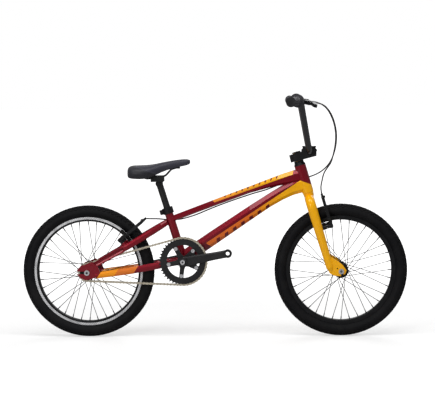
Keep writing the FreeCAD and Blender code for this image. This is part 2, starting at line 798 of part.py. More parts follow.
pad_height = size("BrakePadAbovePivot", 25)
arm_length = size("BrakeArmLength", 107)
pivot_radius = size("BrakePivotRadius", 4)
noodle_radius = size("NoodleRadius", 2.4)
pivot_half = size("BrakePivotHalfSpacing", 44)
pad_gap = size("BrakePadGap", 2.1)


class BrakePlace:
    """Where one pair of brake arms sits: its pivot, the way up the arm and the way outwards."""

    def __init__(self, pad_at, up):
        self.up = Vector(up).normalize()
        self.out = self.up.cross(LEFT)
        self.pivot = Vector(pad_at) - self.up * float(pad_height)

    def at(self, up, side, out):
        return self.pivot + self.up * float(up) + LEFT * float(side) + self.out * float(out)

    def placement(self, side=0, out=0):
        turn = Rotation(self.up, LEFT, self.out, "XYZ")
        return Placement(self.at(0, side, out), turn)


rear_arm_tilt = math.radians(39)
rear_brake = BrakePlace((-330, 0, 385.5), (math.cos(rear_arm_tilt), 0, math.sin(rear_arm_tilt)))
front_brake = BrakePlace(on_fork(43.9, 0, 199.8), steer_up)
brake_axles = {1: rear_axle_at, -1: front_axle_at}
cable_level = arm_length + 5


def boss(place, side, sign, reach, stays_cut):
    """A welded foot with a plain stud for the arm to turn on."""
    way = place.out * sign
    base = place.at(0, side * float(pivot_half), 0) - way * reach
    foot = cylinder(8.5, reach - 13, base, way)
    stud = cylinder(pivot_radius, reach + 11, base, way)
    return cut(fuse(foot, stud), stays_cut)


def brake_arm(place, side, sign):
    """A forged arm with a sleeve round its stud and a slot for the pad bolt."""
    y = pivot_half * side
    half = 6.5
    outline = [(-9, y - half), (2, y - half - 1), (38, y - half), (88, y - half + 1.5),
               (arm_length, y - half + 2.5), (arm_length, y + half - 2.5), (88, y + half - 1.5),
               (38, y + half), (2, y + half + 1), (-9, y + half)]
    low = -2 if sign > 0 else -9
    blade = plate("BrakeArm", outline, 11, place.placement(out=low))
    sleeve_start = place.at(0, float(y), -12 * sign)
    sleeve = cylinder(8, 22, sleeve_start, place.out * sign)
    bore = cylinder_about(pivot_radius + running_gap, 80, place.at(0, float(y), 0), place.out)
    slot = cylinder_about(3.15, 60, place.at(pad_height, float(y), 3.5 * sign), LEFT)
    turn = Rotation(place.up, LEFT, place.out, "XYZ")
    cradle = block((11, 9, 9), place.at(cable_level, float(y), 3.5 * sign), turn)
    cable_bore = cylinder_about(noodle_radius + 0.03, 40, place.at(cable_level, float(y), 3.5 * sign), LEFT)
    arm = cut(fuse(blade, sleeve, cradle), bore, slot, cable_bore)
    if side > 0:
        return arm
    clamp = cylinder(4.6, 5, place.at(cable_level - 1, float(y), 7.9 * sign), place.out * sign)
    return fuse(arm, clamp)


def brake_pad(place, side, sign):
    """A long rubber block in its holder, on a bolt that passes through the arm."""
    face = float(rim_half) + float(pad_gap)
    across = LEFT * side
    middle = place.at(float(pad_height), 0, 3.5 * sign)
    turn = Rotation(place.up, LEFT, place.out, "XYZ")
    track = ring(205, 194.5, 120, brake_axles[sign], LEFT)
    rubber = common(block((20, 8, 52), middle + across * (face + 4), turn), track)
    holder = block((7, 3, 42), middle + across * (face + 9.4), turn)
    bolt = cylinder(3, float(pivot_half) + 14 - face - 8, middle + across * (face + 8), across)
    washer_in = cylinder(7, 4.5, middle + across * (float(pivot_half) - 11.6), across)
    nut = cylinder(5.5, 6, middle + across * (float(pivot_half) + 7.1), across)
    return fuse(rubber, holder, bolt, washer_in, nut)


rear_bosses = both(lambda side: boss(rear_brake, side, 1, 27, group(stays)))
subpart("rear_brake_bosses", group(rear_bosses))

# The noodles are the bent steel pipes that lead each cable into the left arm's cradle.
rear_cradle = rear_brake.at(cable_level, 0, 3.5)
front_cradle = front_brake.at(cable_level, 0, -3.5)
rear_noodle = [(-222, 49, 443), (-246, 62, rear_cradle.z - 1), (rear_cradle.x, 61, rear_cradle.z),
               (rear_cradle.x, 37, rear_cradle.z)]
front_noodle = [(412, 53, 592), (405, 60, 558), (front_cradle.x, 64, front_cradle.z),
                (front_cradle.x, 37, front_cradle.z)]
for wheel_name, place, sign, noodle in (("front", front_brake, -1, front_noodle),
                                        ("rear", rear_brake, 1, rear_noodle)):
    subpart(wheel_name + "_brake_arm_right", brake_arm(place, -1, sign))
    pipe = bar("Noodle", noodle, noodle_radius)
    subpart(wheel_name + "_brake_arm_left", group([brake_arm(place, 1, sign), pipe]))
    subpart(wheel_name + "_brake_pad_right", brake_pad(place, -1, sign))
    subpart(wheel_name + "_brake_pad_left", brake_pad(place, 1, sign))

# ---------------------------------------------------------------- fork

leg_side = size("ForkLegSide", 50)
leg_top_radius = size("ForkLegTopRadius", 18)
leg_foot_radius = size("ForkLegFootRadius", 14)
crown_bend = size("ForkCrownBend", 32)
leg_start = 26
leg_end = 258


def fork_leg(side):
    """A tapered leg, closed by a short dome-like cone at its foot."""
    foot_at = on_fork(-2, side * float(leg_side), leg_start)
    leg = cone(leg_foot_radius, leg_top_radius, leg_end - leg_start, foot_at, steer_up)
    tip = cone(5, leg_foot_radius, 24, on_fork(-2, side * float(leg_side), leg_start - 24), steer_up)
    return fuse(leg, tip)


def leg_air(side):
    wall = tube_wall
    return cone(leg_foot_radius - wall, leg_top_radius - wall, leg_end - leg_start - 10,
                on_fork(-2, side * float(leg_side), leg_start + 10), steer_up)


def crown_half(side):
    """The bend that carries a leg in to the steerer."""
    bend = float(crown_bend)
    centre = on_fork(-2, side * (float(leg_side) - bend), leg_end)
    loop = torus(crown_bend, leg_top_radius, centre, steer_ahead)
    turn = Rotation(steer_ahead, LEFT, steer_up, "XYZ")
    quarter = block((80, 60, 60), centre + LEFT * (side * 30) + steer_up * 30, turn)
    stub_length = float(leg_side) - bend
    stub = cylinder(leg_top_radius, stub_length, centre + steer_up * bend, LEFT * -side)
    return fuse(common(loop, quarter), stub)


crown_level = leg_end + float(crown_bend)
steerer_length = size("SteererLength", 172)
legs = both(fork_leg)
steerer = cylinder(steerer_radius, steerer_length, on_fork(0, 0, crown_level + 8), steer_up)
steerer_bore = cylinder(steerer_radius - 2.5, steerer_length, on_fork(0, 0, crown_level + 30), steer_up)
crown_race = cone(18, 20.5, 316.2 - crown_level - 8, on_fork(0, 0, crown_level + 8), steer_up)
crown = fuse(*both(crown_half), steerer, crown_race)
subpart("fork_crown", cut(crown, steerer_bore))


def fork_end(side):
    """The plate under each leg that holds the front axle."""
    outline = [(-8, 74), (8, 68), (33, 41), (46, 22), (54, -2), (45, -14), (28, -17), (4, -8), (-10, 6)]
    turn = Rotation(steer_ahead, steer_up, -LEFT, "XYZ")
    y = side * (float(front_spacing) + float(dropout_thickness) / 2)
    blank = plate("ForkEnd", outline, dropout_thickness, Placement(on_fork(0, y, 0), turn), midplane=True)
    slot_turn = Rotation(steer_ahead, LEFT, steer_up, "XYZ")
    slot = block((2 * axle_radius + 0.2, 20, 30), front_axle_at + LEFT * y - steer_up * 15, slot_turn)
    slot_end = cylinder_about(axle_radius + 0.1, 20, front_axle_at + LEFT * y, LEFT)
    lug_hole = cylinder_about(2.6, 20, on_fork(23.5, y, 14), LEFT)
    return cut(blank, slot, slot_end, lug_hole)


fork_ends = both(fork_end)
subpart("fork_dropouts", group(fork_ends))
leg_airs = both(leg_air)
subpart("fork_legs", group([cut(leg, end, air) for leg, end, air in zip(legs, fork_ends, leg_airs)]))
front_bosses = both(lambda side: boss(front_brake, side, -1, 34, group(legs)))
subpart("front_brake_bosses", group(front_bosses))

# ---------------------------------------------------------------- headset top, stem and bar

cover_foot = float(head_bottom) + float(head_length) + 0.4
cover = cone(22.4, 18, 10, on_fork(0, 0, cover_foot), steer_up)
spacer = cylinder(18, 8, on_fork(0, 0, cover_foot + 9), steer_up)
steerer_hole = cylinder(steerer_radius + 0.03, 60, on_fork(0, 0, cover_foot - 5), steer_up)
subpart("headset_cover", cut(fuse(cover, spacer), steerer_hole))

bar_radius = size("BarRadius", 11.1)
bar_x = 361.0
bar_z = 698.0
stem_width = size("StemWidth", 44)
stem_outline = [(286, 682), (292.5, 656.5), (340, 668.5), (388, 681), (388, 697.8), (334, 697.8), (322, 695)]
stem_blank = plate("Stem", stem_outline, stem_width, upright(0), midplane=True)
bar_groove = cylinder_about(bar_radius + 0.03, 90, (bar_x, 0, bar_z), LEFT)
stem_bore = cylinder(steerer_radius + 0.03, 90, on_fork(0, 0, 430), steer_up)
pinch_slot = block((22, 2, 60), on_fork(-22, 0, 456), Rotation(steer_ahead, LEFT, steer_up, "XYZ"))
bolt_spots = [(bar_x + dx, dy) for dx in (-20.5, 20.5) for dy in (-15, 15)]
cap_holes = [cylinder(3.1, 34, (x, y, 682), UP) for x, y in bolt_spots]
head_recesses = [cylinder(5.2, 20, (x, y, 712), UP) for x, y in bolt_spots]
pinch_levels = (449, 462)
pinch_holes = [cylinder_about(2.6, 60, on_fork(-21, 0, up), LEFT) for up in pinch_levels]
subpart("stem_body", cut(stem_blank, bar_groove, stem_bore, pinch_slot, *cap_holes, *pinch_holes))

cap_outline = [(332, 698.2), (390, 698.2), (390, 704), (380, 714), (372, 718), (350, 718), (342, 714), (332, 704)]
cap_blank = plate("StemCap", cap_outline, stem_width, upright(0), midplane=True)
subpart("stem_cap", cut(cap_blank, bar_groove, *cap_holes, *head_recesses))

cap_bolts = []
for x, y in bolt_spots:
    shank = cylinder(3, 30, (x, y, 683), UP)
    head = cylinder(5, 5, (x, y, 712.2), UP)
    cap_bolts.append(cut(fuse(shank, head), cylinder(2.5, 3, (x, y, 714.6), UP)))
pinch_bolts = []
for up in pinch_levels:
    shank = cylinder_about(2.5, 48, on_fork(-21, 0, up), LEFT)
    head = cylinder(4.2, 4, on_fork(-21, -22.1, up), -LEFT)
    nut = cylinder(4.2, 4, on_fork(-21, 22.1, up), LEFT)
    pinch_bolts.append(fuse(shank, head, nut))
top_cap = cut(cylinder(15.5, 4, on_fork(0, 0, 471), steer_up), cylinder(3, 3, on_fork(0, 0, 473), steer_up))
subpart("stem_bolts", group(cap_bolts + pinch_bolts + [top_cap]))

# The bar's right half; the left half mirrors it.
bar_corners = [(361, 50, bar_z), (328, 186, 890), (291.9, 358, 886.5)]


def bar_points():
    right = [Vector(x, -y, z) for x, y, z in reversed(bar_corners)]
    left = [Vector(x, y, z) for x, y, z in bar_corners]
    return right + left


bar_path_points = bar_points()
bar_path_points[2].x = bar_x
bar_path_points[3].x = bar_x
bar_solid = bar("Handlebar", bar_path_points, bar_radius, radius=46)
bar_hollow = bar("HandlebarBore", bar_path_points, bar_radius - 1.6, radius=46)
handlebar = cut(bar_solid, bar_hollow)
subpart("handlebar", handlebar)

cross_share = 0.62
cross_x = bar_x + (bar_corners[1][0] - bar_x) * cross_share
cross_z = bar_z + (bar_corners[1][2] - bar_z) * cross_share
crossbar = cut(cylinder_about(8, 320, (cross_x, 0, cross_z), LEFT), bar_solid,
               *[block((60, 200, 60), (cross_x, side * 232, cross_z)) for side in (-1, 1)])
subpart("crossbar", crossbar)


def grip_way(side):
    x, y, z = bar_corners[2]
    u, v, w = bar_corners[1]
    return Vector(x - u, side * (y - v), z - w).normalize()


def grip_point(side, y):
    """The point on the bar's straight end at this distance from the middle plane."""
    x, end, z = bar_corners[2]
    way = grip_way(side)
    return Vector(x, side * end, z) - way * ((end - y) / abs(way.y))


grip_start = 239
grip_radius = size("GripRadius", 16)
grip_length = size("GripLength", 126)


def grip(side):
    way = grip_way(side)
    start = grip_point(side, grip_start)
    body = cylinder(grip_radius, grip_length, start, way)
    flange = cylinder(24, 3.5, start, way)
    end_flange = cylinder(18, 4, start + way * (float(grip_length) - 3), way)
    covered = (bar_corners[2][1] + 0.3 - grip_start) / abs(way.y)
    bore = cylinder(bar_radius + 0.02, covered + 1, start - way, way)
    return cut(fuse(body, flange, end_flange), bore)


subpart("grips", group(both(grip)))

# ---------------------------------------------------------------- brake levers

lever_seat = 220
lever_drop = math.radians(10)


class LeverPlace:
    """The lever's own plane: X outwards along the grip, Y forwards and Z across both."""

    def __init__(self, side):
        self.grip = grip_way(side)
        level = Vector(math.cos(lever_drop), 0, -math.sin(lever_drop))
        self.ahead = (level - self.grip * level.dot(self.grip)).normalize()
        self.normal = self.grip.cross(self.ahead)
        self.origin = grip_point(side, lever_seat)

    def at(self, outward, ahead, up=0):
        return self.origin + self.grip * outward + self.ahead * ahead + self.normal * up

    def rotation(self):
        return Rotation(self.grip, self.ahead, self.normal, "XYZ")

    def placement(self):
        return Placement(self.origin, self.rotation())


lever_pivot = (9, 38)
lever_places = {side: LeverPlace(side) for side in (-1, 1)}


def perch(side):
    """The clamp round the bar, with a forked head for the lever and a cable socket."""
    place = lever_places[side]
    clamp = cylinder_about(17, 16, place.origin, place.grip)
    outline = [(-8, 10), (8, 10), (16, 28), (19, 44), (2, 47), (-20, 42), (-24, 34), (-22, 26), (-10, 22)]
    head = plate("Perch", outline, 15, place.placement(), midplane=True)
    barrel = cylinder(5, 22, place.at(-17, 35), -place.grip)
    bore = cylinder_about(bar_radius + 0.03, 40, place.origin, place.grip)
    slot = block((60, 26, 7), place.at(20, 41), place.rotation())
    pin_hole = cylinder_about(2.55, 40, place.at(*lever_pivot), place.normal)
    pin = cylinder_about(2.5, 17, place.at(*lever_pivot), place.normal)
    clamp_bolt = cylinder_about(2.5, 20, place.at(0, -19.5), place.normal)
    ears = block((14, 10, 14), place.at(0, -18), place.rotation())
    clamp_slot = block((20, 14, 1.6), place.at(0, -18), place.rotation())
    body = cut(fuse(clamp, head, barrel, ears), bore, slot, pin_hole, clamp_slot)
    return [fuse(body, clamp_bolt), pin]


def lever(side):
    place = lever_places[side]
    outline = [(0, 43), (2, 32), (16, 31), (30, 50), (58, 62), (86, 68), (108, 77), (113, 84), (108, 88),
               (84, 79), (54, 74), (22, 62), (10, 46)]
    blade = plate("LeverBlade", outline, 6.4, place.placement(), midplane=True)
    pad_outline = [(34, 52), (58, 62), (86, 68), (108, 77), (113, 84), (108, 88), (84, 79), (54, 74), (30, 66)]
    wide = plate("LeverPad", pad_outline, 12, place.placement(), midplane=True)
    hole = cylinder_about(2.55, 40, place.at(*lever_pivot), place.normal)
    return cut(fuse(blade, wide), hole)


perch_pieces = [piece for side in (-1, 1) for piece in perch(side)]
subpart("lever_perches", group(perch_pieces))
subpart("brake_lever_right", lever(-1))
subpart("brake_lever_left", lever(1))

# ---------------------------------------------------------------- seat

collar_top = float(seat_length) + 3
collar_height = size("SeatCollarHeight", 23)
collar_middle = on_seat_tube(collar_top - float(collar_height) / 2)
collar_ring = ring(20.5, seat_tube_radius + 0.02, collar_height, collar_middle, seat_up)
seat_turn = Rotation(Vector(math.cos(seat_angle), 0, math.sin(seat_angle)), LEFT, seat_up, "XYZ")
ears = block((14, 18, 18), on_seat_tube(collar_top - 11.5, -24), seat_turn)
ear_gap = block((24, 3, 30), on_seat_tube(collar_top - 11.5, -26), seat_turn)
collar_bore = cylinder_about(seat_tube_radius + 0.02, 60, collar_middle, seat_up)
collar_bolt = cylinder_about(3, 24, on_seat_tube(collar_top - 11.5, -26), LEFT)
collar_head = cylinder(5, 5, on_seat_tube(collar_top - 11.5, -26, -9), -LEFT)
collar = cut(fuse(collar_ring, ears), ear_gap, collar_bore, cylinder_about(3.05, 60,
             on_seat_tube(collar_top - 11.5, -26), LEFT))
subpart("seat_clamp", group([cut(collar, collar_head), fuse(collar_bolt, collar_head)]))

post_top = size("SeatPostTop", 296)
post_bottom = size("SeatPostBottom", 98)
post = cylinder(post_radius, post_top - post_bottom, on_seat_tube(post_bottom), seat_up)
post_bore = cylinder(post_radius - 2, post_top - post_bottom - 8, on_seat_tube(post_bottom), seat_up)
tilt_at = on_seat_tube(float(post_top) + 9)
yoke = cylinder_about(11, 26, tilt_at, LEFT)
neck = cylinder(post_radius, 12, on_seat_tube(float(post_top) - 1), seat_up)
subpart("seatpost", cut(fuse(post, neck, yoke), post_bore, cylinder_about(3.1, 60, tilt_at, LEFT)))

rail_side = 21
rail_radius = size("SaddleRailRadius", 3.5)
rail_run = [(-136, 11, 641), (-158, 15, 635), (-178, rail_side, 613), (-196, rail_side, 603.5),
            (-250, rail_side, 601), (-282, 26, 611), (-292, 28, 622)]


def saddle_section(x, half_width, top, bottom):
    """A section across the saddle: a crowned top, soft shoulders and sides drawn in below."""
    points = []
    for y, z in ((-1, 0.35), (-0.93, 0.72), (-0.62, 0.93), (-0.25, 1), (0.25, 1), (0.62, 0.93),
                 (0.93, 0.72), (1, 0.35), (0.86, 0), (-0.86, 0)):
        points.append(Vector(x, y * half_width, bottom + (top - bottom) * z))
    return points


saddle_top = lofted("SaddleTop", [
    saddle_section(-323, 48, 640, 614), saddle_section(-310, 64, 650, 605),
    saddle_section(-280, 72, 650, 603), saddle_section(-250, 68, 651, 604),
    saddle_section(-215, 49, 656, 617), saddle_section(-180, 31, 663, 631),
    saddle_section(-145, 23, 668.5, 641), saddle_section(-108, 19, 673, 648),
    saddle_section(-92, 14, 671, 653), saddle_section(-86.5, 8, 667, 657)])
saddle_core = lofted("SaddleCore", [
    saddle_section(-314, 38, 625, 600), saddle_section(-280, 64, 632, 595),
    saddle_section(-250, 60, 633, 595), saddle_section(-215, 42, 641, 600),
    saddle_section(-180, 25, 650, 610), saddle_section(-145, 18, 658, 630),
    saddle_section(-112, 13.5, 662, 640)])
saddle_base = lofted("SaddleBase", [
    saddle_section(-313.5, 37.5, 624.5, 618), saddle_section(-280, 63.5, 631.5, 620),
    saddle_section(-250, 59.5, 632.5, 621), saddle_section(-215, 41.5, 640.5, 631),
    saddle_section(-180, 24.5, 649.5, 640), saddle_section(-145, 17.5, 657.5, 648),
    saddle_section(-113, 13, 661.5, 654)])
rails = both(lambda side: bar("Rail", [(x, side * y, z) for x, y, z in rail_run], rail_radius, radius=14))
nose_socket = block((20, 30, 18), (-136, 0, 646))
rear_sockets = both(lambda side: block((18, 14, 14), (-291, side * 28, 622)))
subpart("saddle_cover", cut(saddle_top, saddle_core))
base = common(fuse(saddle_base, nose_socket, *rear_sockets), saddle_core)
subpart("saddle_base", cut(base, *rails))
subpart("saddle_rails", group(rails))


def rail_clamp():
    """Two side cheeks that turn on the post's yoke and grip the rails."""
    rail_level = 602.5
    cheeks = []
    for side in (-1, 1):
        inner = 13.2
        cheek = cylinder(13, 5.5, tilt_at + LEFT * (side * inner), LEFT * side)
        lug = block((48, 14, 22), (-211, side * 21.2, rail_level - 3))
        cheeks.append(fuse(cheek, lug))
    through = cylinder_about(3, 44, tilt_at, LEFT)
    heads = [cylinder(5.5, 4, tilt_at + LEFT * (side * 18.7), LEFT * side) for side in (-1, 1)]
    return [cut(cheek, *rails) for cheek in cheeks], fuse(through, *heads)


clamp_cheeks, clamp_bolt_piece = rail_clamp()
subpart("rail_clamp", group([cut(cheek, clamp_bolt_piece) for cheek in clamp_cheeks] + [clamp_bolt_piece]))

# ---------------------------------------------------------------- brake cables

cable_radius = size("CableRadius", 2.5)
right_exit = lever_places[-1].at(-39.3, 35)
left_exit = lever_places[1].at(-39.3, 35)


def lead_in(noodle, distance):
    """A point on the line of a noodle's first run, this far before its end."""
    start = Vector(noodle[0])
    return tuple(start + (start - Vector(noodle[1])).normalize() * distance)


rear_route = [tuple(right_exit), tuple(lever_places[-1].at(-58, 35)), (404, -124, 877.5), (425, -104, 862.5),
              (442, -86, 838.5), (455, -70, 804), (462, -55, 765), (461, -39, 726), (453, -22, 688),
              (440, -4, 657), (421, 14, 632), (396, 27, 613), (364, 32, 600), (330, 31, 592),
              (297, 28, 585), (262, 26, 576), (226, 23, 563), (192, 12, 548.5), (154, 4, 538.5),
              (110, 0, 524.5), (64, 0, 509), (18, 0, 493), (-26, 0, 476), (-64, 1, 461.5), (-96, 5, 452),
              (-124, 16, 444), (-150, 24.5, 441), (-178, 28, 440.5), lead_in(rear_noodle, 22), lead_in(rear_noodle, 0.4)]
front_route = [tuple(left_exit), tuple(lever_places[1].at(-58, 35)), (404, 124, 877.5), (426, 106, 862),
               (443, 92, 838), (457, 80, 803), (464, 70, 763), (462, 61, 722), (454, 54, 684),
               (445, 50, 652), (430, 47.5, 632), lead_in(front_noodle, 20), lead_in(front_noodle, 0.4)]


def cable(name, route):
    shape, length, radii = rod(route, cable_radius)
    print(name, "length", round(length), "radii", radii)
    return shaped("Cable", shape)


subpart("rear_brake_cable", cable("rear_brake_cable", rear_route))
subpart("front_brake_cable", cable("front_brake_cable", front_route))

# ---------------------------------------------------------------- check and write

doc.recompute()
for obj in doc.Objects:
    if "Invalid" in obj.State or "Error" in obj.State:
        raise ValueError(obj.Name + " failed: " + str(obj.State))
os.makedirs("parts", exist_ok=True)
for obj in subparts:
    if obj.Shape.isNull() or not obj.Shape.isValid():
        raise ValueError(obj.Label + " has no valid shape")
    obj.Shape.exportStep("parts/" + obj.Label + ".step")
    print(obj.Label, len(obj.Shape.Solids), round(obj.Shape.Volume / 1000, 1))
print(len(subparts), "nodes")
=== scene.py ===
# %% [markdown]
# # A BMX bike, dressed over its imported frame
# The bike arrives as sixty plain metal and rubber nodes that already have the right size and
# place. This lesson gives each one its finish, and swaps the soft or plain ones (tyres, saddle,
# grips, cables) for pieces modelled in full. Everything is in metres, X forwards, Z up, and the
# drive side faces -Y.

# %% Load the frame
import math

import bmesh
import bpy
from mathutils import Matrix, Vector


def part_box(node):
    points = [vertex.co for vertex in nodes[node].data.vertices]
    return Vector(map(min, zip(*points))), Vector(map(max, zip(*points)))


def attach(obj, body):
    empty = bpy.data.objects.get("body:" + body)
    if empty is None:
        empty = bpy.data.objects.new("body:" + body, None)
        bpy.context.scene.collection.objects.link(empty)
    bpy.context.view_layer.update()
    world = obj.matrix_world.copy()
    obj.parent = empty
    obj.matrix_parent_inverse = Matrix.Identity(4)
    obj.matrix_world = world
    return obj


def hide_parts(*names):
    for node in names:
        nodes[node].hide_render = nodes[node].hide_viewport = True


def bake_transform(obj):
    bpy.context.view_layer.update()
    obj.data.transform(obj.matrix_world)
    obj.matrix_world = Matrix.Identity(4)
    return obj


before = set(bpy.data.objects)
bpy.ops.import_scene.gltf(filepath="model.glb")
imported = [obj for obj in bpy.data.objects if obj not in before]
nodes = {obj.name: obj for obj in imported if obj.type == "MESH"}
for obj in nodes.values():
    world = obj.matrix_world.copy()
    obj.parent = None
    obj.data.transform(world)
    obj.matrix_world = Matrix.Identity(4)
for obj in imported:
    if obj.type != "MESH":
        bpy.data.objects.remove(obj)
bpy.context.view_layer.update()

# %% [markdown]
# ## Camera
# A bike is pictured square on from the drive side with a long lens, so that both wheels stay
# round. The camera stands five and a half metres away, a little above the grips, so the near
# grip hides the far one, and looks slightly down. Its aim is three turns in a row: a small yaw
# about Z, the tilt from straight down up to the bike, and a trace of roll.

# %% Camera
yaw, tilt, roll = math.radians(2.432), math.radians(90 - 4.633), math.radians(-0.62)
camera_data = bpy.data.cameras.new("side_camera")
camera_data.sensor_width = 36
camera_data.lens = 122.25
camera_data.clip_end = 60
camera = bpy.data.objects.new("side_camera", camera_data)
bpy.context.collection.objects.link(camera)
aim = (Matrix.Rotation(yaw, 4, "Z") @ Matrix.Rotation(tilt, 4, "X")
       @ Matrix.Rotation(roll, 4, "Z"))
camera.matrix_world = Matrix.Translation((0.2503, -5.5526, 0.95)) @ aim
bpy.context.scene.camera = camera
print("camera at", [round(x, 2) for x in camera.location])

# %% [markdown]
# ## Floor and light
# A product picture needs a pale floor that runs out of view and big soft lights. Small lights
# would put hard dots on the paint, so each lamp is a wide panel: one overhead draws the long
# bright line on the tubes, one in front lights the side, and one behind lifts the far edges.
# The world is white where the camera sees it and dimmer as a light, so black parts stay black.

# %% Floor and light
def give_finish(obj, material):
    """Puts one material on the whole object."""
    obj.data.materials.clear()
    obj.data.materials.append(material)
    return obj


def mesh_object(name, bm, smooth=True):
    """Turns a finished bmesh into an object whose place is in its mesh."""
    mesh = bpy.data.meshes.new(name)
    bmesh.ops.remove_doubles(bm, verts=bm.verts, dist=1e-6)
    bm.to_mesh(mesh)
    bm.free()
    obj = bpy.data.objects.new(name, mesh)
    bpy.context.collection.objects.link(obj)
    if smooth:
        mesh.shade_smooth()
    return obj


floor_mesh = bmesh.new()
bmesh.ops.create_grid(floor_mesh, x_segments=2, y_segments=2, size=60)
floor = mesh_object("studio_floor", floor_mesh)

world = bpy.data.worlds.new("pale_studio")
bpy.context.scene.world = world
world.use_nodes = True
sky = world.node_tree.nodes["Background"]
sky.inputs["Color"].default_value = (1, 1, 1, 1)
ray = world.node_tree.nodes.new("ShaderNodeLightPath")
level = world.node_tree.nodes.new("ShaderNodeMapRange")
world.node_tree.links.new(ray.outputs["Is Camera Ray"], level.inputs["Value"])
world_light = 0.38
level.inputs["To Min"].default_value = world_light
world.node_tree.links.new(level.outputs["Result"], sky.inputs["Strength"])
bpy.context.scene.view_settings.view_transform = "Standard"


def soft_panel(name, place, target, wide, tall, power):
    lamp = bpy.data.lights.new(name, "AREA")
    lamp.shape = "RECTANGLE"
    lamp.size = wide
    lamp.size_y = tall
    lamp.energy = power
    obj = bpy.data.objects.new(name, lamp)
    obj.location = place
    obj.rotation_mode = "QUATERNION"
    obj.rotation_quaternion = (Vector(target) - Vector(place)).to_track_quat("-Z", "Y")
    bpy.context.collection.objects.link(obj)
    return obj


soft_panel("overhead_panel", (0, -0.9, 2.9), (0, 0, 0.4), 3.2, 0.9, 46)
soft_panel("front_panel", (-1.6, -3.6, 1.9), (0, 0, 0.5), 1.6, 1.6, 46)
soft_panel("back_panel", (0.9, 2.6, 2.0), (0, 0, 0.5), 2.4, 0.8, 26)
print("three panels and a pale world")

# %% [markdown]
# ## A short way to wire a finish
# Every finish below is a Principled shader with a few nodes in front of it. Naming sockets by
# hand each time hides what matters, so a small class keeps one material and adds nodes to it.
# Position always means Object coordinates: the pieces sit at the origin, so these are metres
# in the bike's own frame and a pattern stays fixed when a part turns.

# %% The finish class
class Finish:
    """One material on its way to being wired."""

    def __init__(self, name, color=(0.5, 0.5, 0.5), metallic=0.0, roughness=0.5, coat=0.0):
        self.material = bpy.data.materials.new(name)
        self.material.use_nodes = True
        self.tree = self.material.node_tree
        self.shader = self.tree.nodes["Principled BSDF"]
        self.shader.inputs["Base Color"].default_value = (*color, 1)
        self.shader.inputs["Metallic"].default_value = metallic
        self.shader.inputs["Roughness"].default_value = roughness
        self.shader.inputs["Coat Weight"].default_value = coat
        self.shader.inputs["Coat Roughness"].default_value = 0.06
        self.position = self.add("ShaderNodeTexCoord").outputs["Object"]

    def add(self, kind, **inputs):
        return wired(self.tree, self.tree.nodes.new(kind), inputs)

    def effect(self, group, **inputs):
        """Places a shared node group in this material with its own values."""
        node = self.tree.nodes.new("ShaderNodeGroup")
        node.node_tree = group
        return wired(self.tree, node, {"Position": self.position, **inputs})

    def feed(self, **sockets):
        for name, value in sockets.items():
            self.tree.links.new(value, self.shader.inputs[name.replace("_", " ")])
        return self

    def bump(self, height, strength, distance=0.001):
        node = self.add("ShaderNodeBump", Height=height, Strength=strength, Distance=distance)
        return self.feed(Normal=node.outputs["Normal"])


def wired(tree, node, inputs):
    """Sets or links a node's inputs by name, with _ for a space."""
    for name, value in inputs.items():
        label = name.replace("_", " ") if isinstance(name, str) else name
        socket = node.inputs[label]
        if isinstance(value, bpy.types.NodeSocket):
            tree.links.new(value, socket)
        elif hasattr(value, "__len__") and len(value) == 3 and socket.type == "RGBA":
            socket.default_value = (*value, 1)
        else:
            socket.default_value = value
    return node


def new_group(name, inputs, outputs):
    """An empty shader node group with named sockets."""
    tree = bpy.data.node_groups.new(name, "ShaderNodeTree")
    for label, kind, value in inputs:
        socket = tree.interface.new_socket(label, in_out="INPUT", socket_type="NodeSocket" + kind)
        if value is not None:
            socket.default_value = value
    for label, kind in outputs:
        tree.interface.new_socket(label, in_out="OUTPUT", socket_type="NodeSocket" + kind)
    return tree, tree.nodes.new("NodeGroupInput"), tree.nodes.new("NodeGroupOutput")


def math_node(tree, operation, first, second=None, clamp=False):
    node = tree.nodes.new("ShaderNodeMath")
    node.operation = operation
    node.use_clamp = clamp
    wired(tree, node, {0: first} if second is None else {0: first, 1: second})
    return node.outputs[0]


print("finish helpers ready")

# %% [markdown]
# ## Shared effect: the edge of a painted area
# A two-colour bike is masked with tape, so every colour change is a straight, crisp edge. The
# edge is a plane: points on one side get one colour and points on the other get the next. The
# group takes the plane's direction and distance, and gives a mask that runs from 0 to 1.

# %% Shared effect: tape edge
tape_edge, tape_in, tape_out = new_group(
    "tape_edge",
    [("Position", "Vector", None), ("Direction", "Vector", None), ("Distance", "Float", 0.0),
     ("Softness", "Float", 0.0006)],
    [("Mask", "Float")])
along = tape_edge.nodes.new("ShaderNodeVectorMath")
along.operation = "DOT_PRODUCT"
tape_edge.links.new(tape_in.outputs["Position"], along.inputs[0])
tape_edge.links.new(tape_in.outputs["Direction"], along.inputs[1])
past = math_node(tape_edge, "SUBTRACT", along.outputs["Value"], tape_in.outputs["Distance"])
ramped = math_node(tape_edge, "DIVIDE", past, tape_in.outputs["Softness"])
shifted = math_node(tape_edge, "ADD", ramped, 0.5, clamp=True)
tape_edge.links.new(shifted, tape_out.inputs["Mask"])
print("group", tape_edge.name)

# %% [markdown]
# ## Shared effect: handling wear
# Nothing stays one tone. Paint gets a faint cloudiness, metal a few duller patches, rubber a
# dusty bloom. One group serves them all: a slow noise gives a cloud mask, a fast noise gives
# fine speckle, and the two vary the colour, the roughness and a height for a bump.

# %% Shared effect: handling wear
wear, wear_in, wear_out = new_group(
    "handling_wear",
    [("Position", "Vector", None), ("Color", "Color", (0.5, 0.5, 0.5, 1)),
     ("Worn Color", "Color", (0.6, 0.6, 0.6, 1)), ("Roughness", "Float", 0.4),
     ("Cloud Scale", "Float", 14.0), ("Speckle Scale", "Float", 900.0),
     ("Amount", "Float", 0.3)],
    [("Color", "Color"), ("Roughness", "Float"), ("Height", "Float")])


